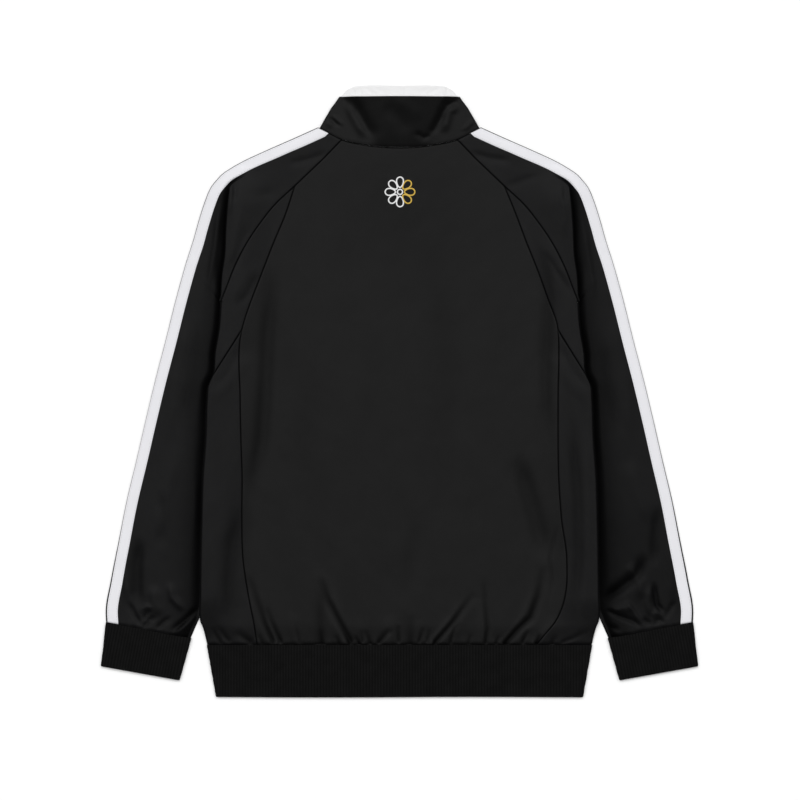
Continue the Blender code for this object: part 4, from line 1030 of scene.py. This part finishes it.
# A stitch is a short spindle: rings of a small ellipse along its length, drawn in at both ends. All the stitches
# of a seam are worked out together as one array of spindles.
def stitches(name, starts, ends, ups, half, material, rings=5, facets=6):
    along = ends - starts
    along = along / np.linalg.norm(along, axis=1, keepdims=True)
    across = np.cross(ups, along)
    across /= np.linalg.norm(across, axis=1, keepdims=True)
    up = np.cross(along, across)
    share = np.linspace(0, 1, rings)
    thick = half * np.maximum(0.25, np.sin(math.pi * (0.08 + 0.84 * share)) ** 0.5)
    sink = 1.4 * half * (2 * share - 1) ** 4
    angle = np.linspace(0, 2 * math.pi, facets, endpoint=False)
    middle = starts[:, None, :] + (ends - starts)[:, None, :] * share[None, :, None]
    middle = middle - up[:, None, :] * sink[None, :, None]
    ringPoints = (middle[:, :, None, :]
                  + across[:, None, None, :] * (thick[:, None] * np.cos(angle))[None, :, :, None]
                  + up[:, None, None, :] * (thick[:, None] * 0.8 * np.sin(angle))[None, :, :, None])
    count = len(starts)
    block = rings * facets
    ring, step = np.meshgrid(np.arange(rings - 1), np.arange(facets), indexing="ij")
    following = (step + 1) % facets
    quads = np.stack([ring * facets + step, ring * facets + following, (ring + 1) * facets + following,
                      (ring + 1) * facets + step], axis=-1).reshape(-1, 4)
    quads = (quads[None] + (np.arange(count) * block)[:, None, None]).reshape(-1, 4)
    caps = np.stack([np.arange(facets)[::-1], (rings - 1) * facets + np.arange(facets)])
    caps = (caps[None] + (np.arange(count) * block)[:, None, None]).reshape(-1, facets)
    uv = np.zeros((count, rings, facets, 2))
    uv[..., 0] = (angle / 6.3 * 2 * half * mm)[None, None, :]
    uv[..., 1] = (share * tape["stitchLength"] * mm)[None, :, None]
    faces = [list(quad) for quad in quads] + [list(cap) for cap in caps]
    return meshPiece(name, ringPoints.reshape(-1, 3) * mm, faces, uv.reshape(-1, 2), material, "jacket")


# two lines of stitches, each a short thread that sinks into the tape at both ends
def tapeStitches(side, sign):
    fine, track = alongOutline()
    pitch = tape["stitchLength"] + tape["stitchGap"]
    count = int((track[-1] - 6) / pitch)
    first = np.interp(3 + pitch * np.arange(count), track, fine)
    last = np.interp(3 + pitch * np.arange(count) + tape["stitchLength"], track, fine)
    starts, ends = [], []
    for place in (tape["stitchInset"] / sleeve["tapeWidth"], 1 - tape["stitchInset"] / sleeve["tapeWidth"]):
        where = np.array([[place]])
        starts.append(np.concatenate(tapeSurface(side, sign, first, where), axis=1))
        ends.append(np.concatenate(tapeSurface(side, sign, last, where), axis=1))
    starts, ends = np.concatenate(starts), np.concatenate(ends)
    ups = np.tile([0.0, 0.0, 1.0], (len(starts), 1))
    shift = np.array([0, 0, 0.08])      # the thread lies this much over the tape
    piece = stitches(f"tapeStitches{side.capitalize()}", starts + shift, ends + shift, ups, tape["stitchHalf"],
                     tapeThread)
    return piece


for side, sign in sides.items():
    makeSleeve(side, sign)
    strip = makeTape(side, sign)
    sewing = tapeStitches(side, sign)


print("collar")
collar = {
    "turnColumns": 9, "rows": 34, "height": 60, "wall": 0.9, "loft": 2.2,
    # the middle of the back stands up and leans forward; the dent where it starts spreads towards the top
    "lean": 8.5, "leanFrom": 32, "leanSpread": 30, "leanShift": 4,
    "creaseGain": 1.6, "stripGain": 1.8, "seamDepth": 0.7,
    # painted shade on the collar: in the leaning dent, beside the neck seam, and more towards the right
    "paintedShade": 0.14, "seamShade": 0.5, "paintedDark": {"left": 0.02, "right": 0.09},
    "guardStart": 9.0, "guardEnd": 12.0, "guardRise": 1.4,
    "lowest": 0.75,     # the lining's folds come no lower than this
}
riseRows = [(0, 12), (0.75, 12), (0.86, 9.5), (0.94, 5.5), (1, 0)]
outerShape = {"inset": 0.6, "frontZ": 0.75, "backZ": 5.2, "roll": 0.0}
liningShape = {"inset": 3.2, "frontZ": 2.0, "backZ": 3.8, "roll": 1.5}
collarFolds = [
    (-1.3, 7, 0.2, (-56, 370), (-50, 350), (-40, 330), (-26, 314)),
    (1.2, 5, 0, (-68, 366), (-60, 348), (-50, 330), (-40, 316)),
    (-0.6, 2.2, 0, (-88, 344), (-81, 337), (-74, 331)), (0.5, 2.4, 0, (-84, 347), (-77, 339), (-69, 333)),
    (0.4, 3.0, 0, (-92, 338), (-84, 331)),
    (-1.5, 4.5, -0.2, (66, 366), (54, 350), (52, 343), (44, 328), (33, 318)),
    (-1.0, 3.0, 0, (40, 322), (30, 317), (19, 325)), (1.3, 4.5, 0, (76, 360), (63, 350), (60, 340), (54, 322)),
    (-0.6, 3.0, 0, (72, 366), (62, 360), (50, 360)), (0.5, 3.0, 0, (94, 341), (86, 333), (78, 326)),
    (-0.5, 9, 0, (-20, 362), (0, 340), (14, 322)), (0.35, 8, 0, (-8, 368), (16, 352), (30, 340))]
stripFolds = [
    (-0.8, 1.8, 0, (-62, 384), (-58, 377), (-54, 368)), (-0.5, 1.6, 0, (-53, 382), (-50, 376), (-48, 369)),
    (-1.4, 1.8, 0, (61, 384), (60, 377), (62, 368)), (-0.6, 1.4, 0, (68, 379), (66, 374), (68, 369)),
    (-0.4, 1.5, 0, (-44, 381), (-34, 374), (-26, 370)), (-0.3, 1.5, 0, (-32, 382), (-24, 377), (-16, 372)),
    (-0.4, 1.5, 0, (32, 371), (42, 376), (52, 382)), (-0.3, 1.5, 0, (24, 372), (34, 378), (42, 382)),
    (0.4, 2.2, 0, (-57, 384), (-54, 377), (-51, 369)), (0.5, 2.2, 0, (57, 384), (56, 377), (58, 369))]


# how far from the middle the leaning part of the back ends, wider towards the top
def leanEdge(x, up):
    return collar["leanFrom"] + collar["leanSpread"] * up + collar["leanShift"] * (x > 0)


# A collar layer is wrapped round: fraction runs from -1 to 1 across it, layer from 0 in front to 1 behind and up
# from 0 at the neck seam to 1 at the top. The side folds bulge as a sine of the turn and the height follows its
# cosine; the back is lofted as a squared cosine across.
def collarPoints(shape, fraction, layer, up):
    turn = (shape["backZ"] - shape["frontZ"]) / 2
    bulge = np.sign(fraction) * turn * np.sin(math.pi * layer)
    atBase = fraction * (100 - shape["inset"] - turn) + bulge
    base = neckSeam(np.abs(atBase)) + 0.3
    top = 369 + shape["roll"] + through(riseRows, np.abs(fraction)) * (1 - np.minimum(1, layer * 1.5))
    y = base + (top - base) * up
    x = fraction * (through(collarSideRows, y) - shape["inset"] - turn) + bulge
    z = shape["frontZ"] + turn * (1 - np.cos(math.pi * layer))
    middle = np.cos(math.pi * fraction / 2) ** 2 * layer
    leaning = (1 - smooth(-11, 11, np.abs(x) - leanEdge(x, up))) * layer
    z = z + zipLift(x, y) + collar["loft"] * middle + collar["lean"] * (up - 0.1) * leaning
    return x, y, z


# the fraction and layer of each column, from the zip round the back to the zip
def collarPath():
    start = np.linspace(0.06, 1, 34)
    turn = np.linspace(0, 1, collar["turnColumns"])[1:-1]
    fraction = np.concatenate([-start, -np.ones(len(turn)), np.linspace(-1, 1, 90), np.ones(len(turn)), start[::-1]])
    layer = np.concatenate([np.zeros(len(start)), turn, np.ones(90), turn[::-1], np.zeros(len(start))])
    return fraction[None, :], layer[None, :]


# the outer collar, with its folds pressed into the back and a dip at the neck seam
def outerCollar():
    up = np.concatenate([[0, 0.006, 0.016], np.linspace(0.03, 0.96, collar["rows"]), [0.98, 0.992, 1]])[::-1, None]
    fraction, layer = collarPath()
    x, y, z = collarPoints(outerShape, fraction, layer, up)
    back = smooth(0.6, 1, layer) * smooth(0, 0.05, up)
    z = z + collar["creaseGain"] * foldRelief(x, y, collarFolds) * back
    z = z - collar["seamDepth"] * np.exp(-(up * collar["height"] / 1.2) ** 2) * back
    # painted shade on the back layer: darker in the dent, beside the neck seam, and a little more to the right
    paintedDark = collar["paintedDark"]["left"] + (collar["paintedDark"]["right"] - collar["paintedDark"]["left"]) * smooth(-60, 40, x)
    inDent = collar["paintedShade"] * (1 - smooth(-8, 6, np.abs(x) - leanEdge(x, up)))
    paintedShade = (inDent + paintedDark + collar["seamShade"] * np.exp(-(up * collar["height"] / 1.8) ** 2)) * layer
    piece = gridPiece("collarOuter", x, y, z, cloth["shell"], "jacket", wall=collar["wall"], offset=0.0, paintedShade=paintedShade)
    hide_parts("collar_outer")


# The lining is like the outer collar, and its left front goes on past the zip as a guard. Its folds show in the
# strip over the collar's edge, and behind it stays under the outer's creases.
def liningCollar():
    shape = liningShape
    up = np.concatenate([[0, 0.02], np.linspace(0.04, 0.95, collar["rows"]), [0.975, 1]])[::-1, None]
    fraction, layer = collarPath()
    x, y, z = collarPoints(shape, fraction, layer, up)
    guardX = np.linspace(collar["guardEnd"], x[0, 0], 14)[:-1][None, :]
    low = 305.6 + collar["guardStart"]
    guardY = low + (369 + shape["roll"] + 12 - low) * up
    guardX = guardX + 0 * guardY
    guardY = guardY + 0 * guardX
    over = collar["guardRise"] * smooth(-26, -4, guardX) - (collar["guardRise"] + 0.5) * smooth(-3, 12, guardX)
    guardZ = shape["frontZ"] + zipLift(guardX, guardY) + over
    z = z + collar["guardRise"] * smooth(-26, -4, x) * (1 - smooth(-1, 0, x)) * (layer == 0)
    x, y, z = (np.concatenate(parts, axis=1) for parts in ((guardX, x), (guardY, y), (guardZ, z)))
    layer = np.concatenate([np.zeros(guardX.shape[1])[None, :], layer], axis=1)
    z = z + collar["stripGain"] * foldRelief(x, y, stripFolds) * (1 - smooth(0, 0.3, layer))
    z = z + collar["creaseGain"] * np.minimum(0, foldRelief(x, y, collarFolds)) * smooth(0.6, 1, layer)
    over = z - collar["lowest"]
    z = collar["lowest"] + (over + np.sqrt(over ** 2 + 0.3)) / 2
    z = z - 1.5 * layer * (1 - smooth(358, 368, y)) * np.cos(math.pi * np.clip(x / 170, -0.5, 0.5))
    piece = gridPiece("collarLining", x, y, z, cloth["lining"], "jacket", wall=collar["wall"], offset=0.0)
    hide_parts("collar_lining")


outerCollar()
liningCollar()


print("ribbing")
rib = {"pitch": 3.6, "height": 0.7, "wall": 1.8, "perRib": 6, "sharp": 0.6, "endColumns": 12}


# the distance round the band, with two slow waves so that the ribs aren't quite even
def ribPlaces(distance):
    return distance + 0.25 * np.sin(distance / 11.0) + 0.15 * np.sin(distance / 4.3 + 1)


# relief of ribbing: a rounded crest and a narrow groove, the absolute cosine of half a turn a rib to a power
def ribRelief(distance):
    crest = np.abs(np.cos(math.pi * ribPlaces(distance) / rib["pitch"])) ** rib["sharp"]
    return rib["height"] * (crest - 1)


# The band's own section, from its seam down the outside, round its lower edge and up the inside, as rows of
# (share of the depth, distance in from the outer face)
def bandProfile():
    wall = rib["wall"]
    shares = (0, 0.012, 0.03, 0.06, *np.linspace(0.1, 0.95, 14))
    outside = [(share, 0.25 * math.exp(-share / 0.03)) for share in shares]
    bend = [(0.965 + 0.035 * math.sin(angle), wall / 2 * (1 - math.cos(angle)))
            for angle in np.linspace(0, math.pi, 7)]
    inside = [(share, wall) for share in (0.7, 0.35, 0.0)]
    return np.array(outside + bend + inside)


# A ring round a flattened tube: straight over, half a circle, straight under, half a circle. It comes back as
# (across, z), the outward direction, and the distance round, for each column.
def flatRing(half, high, low, columns, endColumns, inset):
    radius = (high - low) / 2
    straight = half - radius
    top = np.linspace(-straight, straight, columns)
    bend = np.radians(np.linspace(90, -90, endColumns)[1:-1])
    small = radius - inset
    middle = (high + low) / 2
    across = np.concatenate([top, straight + small * np.cos(bend), top[::-1], -straight - small * np.cos(bend)])
    height = np.concatenate([middle + small + 0 * top, middle + small * np.sin(bend), middle - small + 0 * top,
                             middle - small * np.sin(bend)])
    outX = np.concatenate([0 * top, np.cos(bend), 0 * top, -np.cos(bend)])
    outZ = np.concatenate([1 + 0 * top, np.sin(bend), -1 + 0 * top, -np.sin(bend)])
    arc = radius * (math.pi / 2 - bend)
    around = np.concatenate([top, straight + arc, straight + math.pi * radius + (straight + top),
                             3 * straight + math.pi * radius + arc])
    return across, height, outX, outZ, around


# a flat ring with its ribs: each point moves outwards by the relief, which fades towards the band's inside
def ribbedRing(half, shape, columns, inset):
    across, height, outX, outZ, around = flatRing(half, shape["high"], shape["low"], columns, rib["endColumns"], inset)
    relief = ribRelief(around) * (1 - inset / rib["wall"]) + rib["height"]
    return across + relief * outX, height + relief * outZ, ribPlaces(around)


# A cuff: flat rings placed between its inner and outer corners, carried down the band's section.
cuff = {"topInner": (260.8, -307.6), "topOuter": (366.8, -288.1), "bottomInner": (275.5, -360.5),
        "bottomOuter": (373.0, -343.0), "high": 4.6, "low": 0.75, "ribs": 29}


# a cuff's grid, one ring for each place in the band's section
def makeCuff(side, sign):
    profile = bandProfile()
    corners = {key: np.array(cuff[key]) for key in ("topInner", "topOuter", "bottomInner", "bottomOuter")}
    rings, places = [], []
    for share, inset in profile:
        inner = corners["topInner"] + (corners["bottomInner"] - corners["topInner"]) * share
        outer = corners["topOuter"] + (corners["bottomOuter"] - corners["topOuter"]) * share
        length = np.linalg.norm(outer - inner)
        across, height, around = ribbedRing(length / 2, cuff, cuff["ribs"] * rib["perRib"], inset)
        places.append(around)
        way = (outer - inner) / length
        middle = (outer + inner) / 2
        rings.append(np.stack([sign * (middle[0] + way[0] * across), middle[1] + way[1] * across, height], axis=-1))
    grid = np.array(rings)
    grid = np.concatenate([grid, grid[:, :1]], axis=1)
    places = np.array(places)
    places = np.concatenate([places, places[:, -1:] + 0.8], axis=1)
    piece = gridPiece(f"cuffRib{side.capitalize()}", grid[..., 0], grid[..., 1], grid[..., 2], cloth["rib"], "jacket",
                      flip=sign < 0, weld=True, ribPlace=places)
    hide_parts(f"cuff_{side}")
    return piece


# The hem band: the same, open at the zip in front.
hem = {"top": -316.3, "bottom": -381.5, "topHalf": 240.5, "bottomHalf": 229.0, "high": 4.4, "low": 0.75,
       "ribs": 133, "zipHalf": 4.8, "sag": 0.35}


# the hem band's grid, whose rings are open where the zip comes through
def makeHem():
    rings, places = [], []
    top = hem["ribs"] * rib["perRib"]
    first, last = top + rib["endColumns"] - 2, 2 * top + rib["endColumns"] - 2      # columns of the side below
    for share, inset in bandProfile():
        half = hem["topHalf"] + (hem["bottomHalf"] - hem["topHalf"]) * share
        y = hem["top"] + (hem["bottom"] - hem["top"]) * share
        across, height, around = ribbedRing(half, hem, top, inset)
        under = np.arange(first, last)
        order = np.concatenate([under[across[under] < -hem["zipHalf"]], np.arange(last, len(across)),
                                np.arange(first), under[across[under] > hem["zipHalf"]]])
        places.append(around[order])
        sag = hem["sag"] * np.sin(across / 60) * share
        rings.append(np.stack([across, y + sag + 0 * across, height], axis=-1)[order])
    grid = np.array(rings)
    piece = gridPiece("hemRib", grid[..., 0], grid[..., 1], grid[..., 2], cloth["rib"], "jacket",
                      ribPlace=np.array(places))
    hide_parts("hem_rib")
    return piece


for side, sign in sides.items():
    makeCuff(side, sign)
makeHem()


print("zip")
zipper = {"half": 4.6, "pitch": 1.3, "tapeZ": 0.75, "top": 352.0, "bottom": -378.0, "wall": 0.4}


# the zip's tape: a strip from the hem to the slider that follows the lift of the cloth
def zipTape():
    down = np.concatenate([np.linspace(362, 250, 46), np.linspace(245, -381, 60)])[:, None]
    across = np.array([-1, -0.9, -0.5, -0.45, 0, 0.45, 0.5, 0.9, 1])[None, :] * zipper["half"]
    x = across + 0 * down
    y = down + 0 * across
    z = zipper["tapeZ"] + zipLift(0 * x, y) + 0.12 * (np.abs(x) < 0.55 * zipper["half"])
    piece = gridPiece("zipTape", x, y, z, cloth["zipTape"], "jacket", wall=zipper["wall"], offset=1.0, flip=True)
    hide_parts("zip_chain")
    return piece


# Teeth: one moulded tooth, a tapered block with a head, repeated down the zip from both sides in turn.
def zipTeeth():
    count = int((zipper["top"] - zipper["bottom"]) / zipper["pitch"])
    number = np.arange(count)
    side = np.where(number % 2 == 0, 1.0, -1.0)
    tooth = np.array([(x, y, z) for x, wide in ((-0.9, 0.45), (0.35, 0.42), (0.7, 0.55), (1.9, 0.5))
                      for y, z in ((-wide, 0.1), (wide, 0.1), (wide, 0.78), (-wide, 0.78))])
    tooth[[0, 1, 12, 13], 2] += 0.18
    points = np.repeat(tooth[None], count, axis=0)
    points[..., 0] *= side[:, None]
    centre = zipper["bottom"] + zipper["pitch"] * number
    points[..., 1] += centre[:, None]
    points[..., 2] += zipLift(0 * centre, centre)[:, None]
    quads = [(0, 3, 2, 1), (12, 13, 14, 15)]
    for part in range(3):
        a = part * 4
        quads += [(a + k, a + (k + 1) % 4, a + 4 + (k + 1) % 4, a + 4 + k) for k in range(4)]
    quads = np.array(quads)
    faces = (quads[None] + (number * 16)[:, None, None])
    turned = np.where((side > 0)[:, None, None], faces, faces[:, :, ::-1]).reshape(-1, 4)
    piece = meshPiece("zipTeeth", points.reshape(-1, 3) * mm, turned, None, toothPlastic, "jacket")
    piece.data.shade_flat()
    return piece


zipTape()
zipTeeth()
for name in ("zip_slider", "zip_pull"):
    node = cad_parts[name]
    node.data.materials.clear()
    node.data.materials.append(enamel)


print("emblem")
# A plain eight-petal rosette worked in satin stitch: white petals, three of them gold, round a small ring.
emblem = {"x": 0.6, "y": 250.0, "radius": 18.5, "petals": 8, "gold": (0, 1, 7), "line": 0.85, "rise": 0.45,
          "petalStart": 5.6, "petalHalf": 5.2, "ringRadius": 3.2}


# A satin line is a low rounded strip along a closed or open path: its width is set out square to the path and its
# height is a half circle across. UV runs along and across it, so the stitches lie across the line.
def satinLine(name, pathX, pathY, half, material):
    tangentX, tangentY = np.gradient(pathX), np.gradient(pathY)
    size = np.hypot(tangentX, tangentY)
    angle = np.radians(np.linspace(180, 0, 7))
    outward = np.cos(angle)[None, :] * half
    x = pathX[:, None] - (tangentY / size)[:, None] * outward
    y = pathY[:, None] + (tangentX / size)[:, None] * outward
    z = backFace(x, y) + 0.05 + emblem["rise"] * np.sin(angle)[None, :]
    piece = gridPiece(name, x, y, z, material, "jacket", wall=0.0)
    return piece


# A petal is a closed loop: it leaves the inner ring, swells as a sine and comes to a soft point near the rim.
def petal(turn, inner, outer, spread):
    t = np.linspace(0, 2 * math.pi, 49)
    reach = (inner + outer) / 2 - (outer - inner) / 2 * np.cos(t)
    side = spread * np.sin(t) * (0.62 + 0.38 * (reach - inner) / (outer - inner))
    return (emblem["x"] + reach * math.cos(turn) - side * math.sin(turn),
            emblem["y"] + reach * math.sin(turn) + side * math.cos(turn))


for number in range(emblem["petals"]):
    turn = 2 * math.pi * number / emblem["petals"]
    thread = goldThread if number in emblem["gold"] else whiteThread
    px, py = petal(turn, emblem["petalStart"], emblem["radius"], emblem["petalHalf"])
    satinLine(f"rosettePetal{number + 1}", px, py, emblem["line"], thread)
ringTurn = np.linspace(0, 2 * math.pi, 61)
satinLine("rosetteRing", emblem["x"] + emblem["ringRadius"] * np.cos(ringTurn),
          emblem["y"] + emblem["ringRadius"] * np.sin(ringTurn), emblem["line"], whiteThread)


print("floor, light and camera")
studio = {"floor": (0.9, 0.9, 0.9), "skyStrength": 0.22, "lens": 180.0, "distance": 5.0,
          # name: height over the floor and turn from the hem's side, in degrees, spread, strength
          "keyLeft": (62, 225, 54, 1.78), "keyRight": (62, 135, 54, 1.5)}


# the plain white of the surface
def floorMaterial():
    material, tree, shader = newMaterial("paleFloor")
    place = tree.nodes.new("ShaderNodeTexCoord").outputs["Object"]
    cloud = noiseNode(tree, place, 3.0, 3.0)
    dim = [value * 0.985 for value in studio["floor"]] + [1]
    tree.links.new(mixColour(tree, cloud, dim, [*studio["floor"], 1]), shader.inputs["Base Color"])
    shader.inputs["Roughness"].default_value = 0.9
    shader.inputs["Specular IOR Level"].default_value = 0.1
    return material


floorMesh = bpy.data.meshes.new("floor")
floorMesh.from_pydata([(-6, -6, 0), (6, -6, 0), (6, 6, 0), (-6, 6, 0)], [], [(0, 1, 2, 3)])
floorMesh.materials.append(floorMaterial())
floor = bpy.data.objects.new("floor", floorMesh)
scene.collection.objects.link(floor)

world = bpy.data.worlds.new("studio")
world.use_nodes = True
world.node_tree.nodes["Background"].inputs["Color"].default_value = (1, 1, 1, 1)
world.node_tree.nodes["Background"].inputs["Strength"].default_value = studio["skyStrength"]
scene.world = world


# A softbox far away is a sun with a wide disc: height is its angle over the floor, and turn goes round from +Y.
def softbox(name, height, turn, spread, strength):
    light = bpy.data.lights.new(name, "SUN")
    light.angle = math.radians(spread)
    light.energy = strength
    lamp = bpy.data.objects.new(name, light)
    lamp.rotation_euler = (math.radians(90 - height), 0, math.radians(turn))
    scene.collection.objects.link(lamp)
    return lamp


softbox("keyLeft", *studio["keyLeft"])
softbox("keyRight", *studio["keyRight"])

scene.view_settings.view_transform = "Standard"
camera = bpy.data.cameras.new("camera")
camera.lens = studio["lens"]
camera.sensor_width = 36.0
camera.clip_end = 50.0
eye = bpy.data.objects.new("camera", camera)
eye.location = (0.0006, -0.010, studio["distance"] + 0.005)
scene.collection.objects.link(eye)
scene.camera = eye
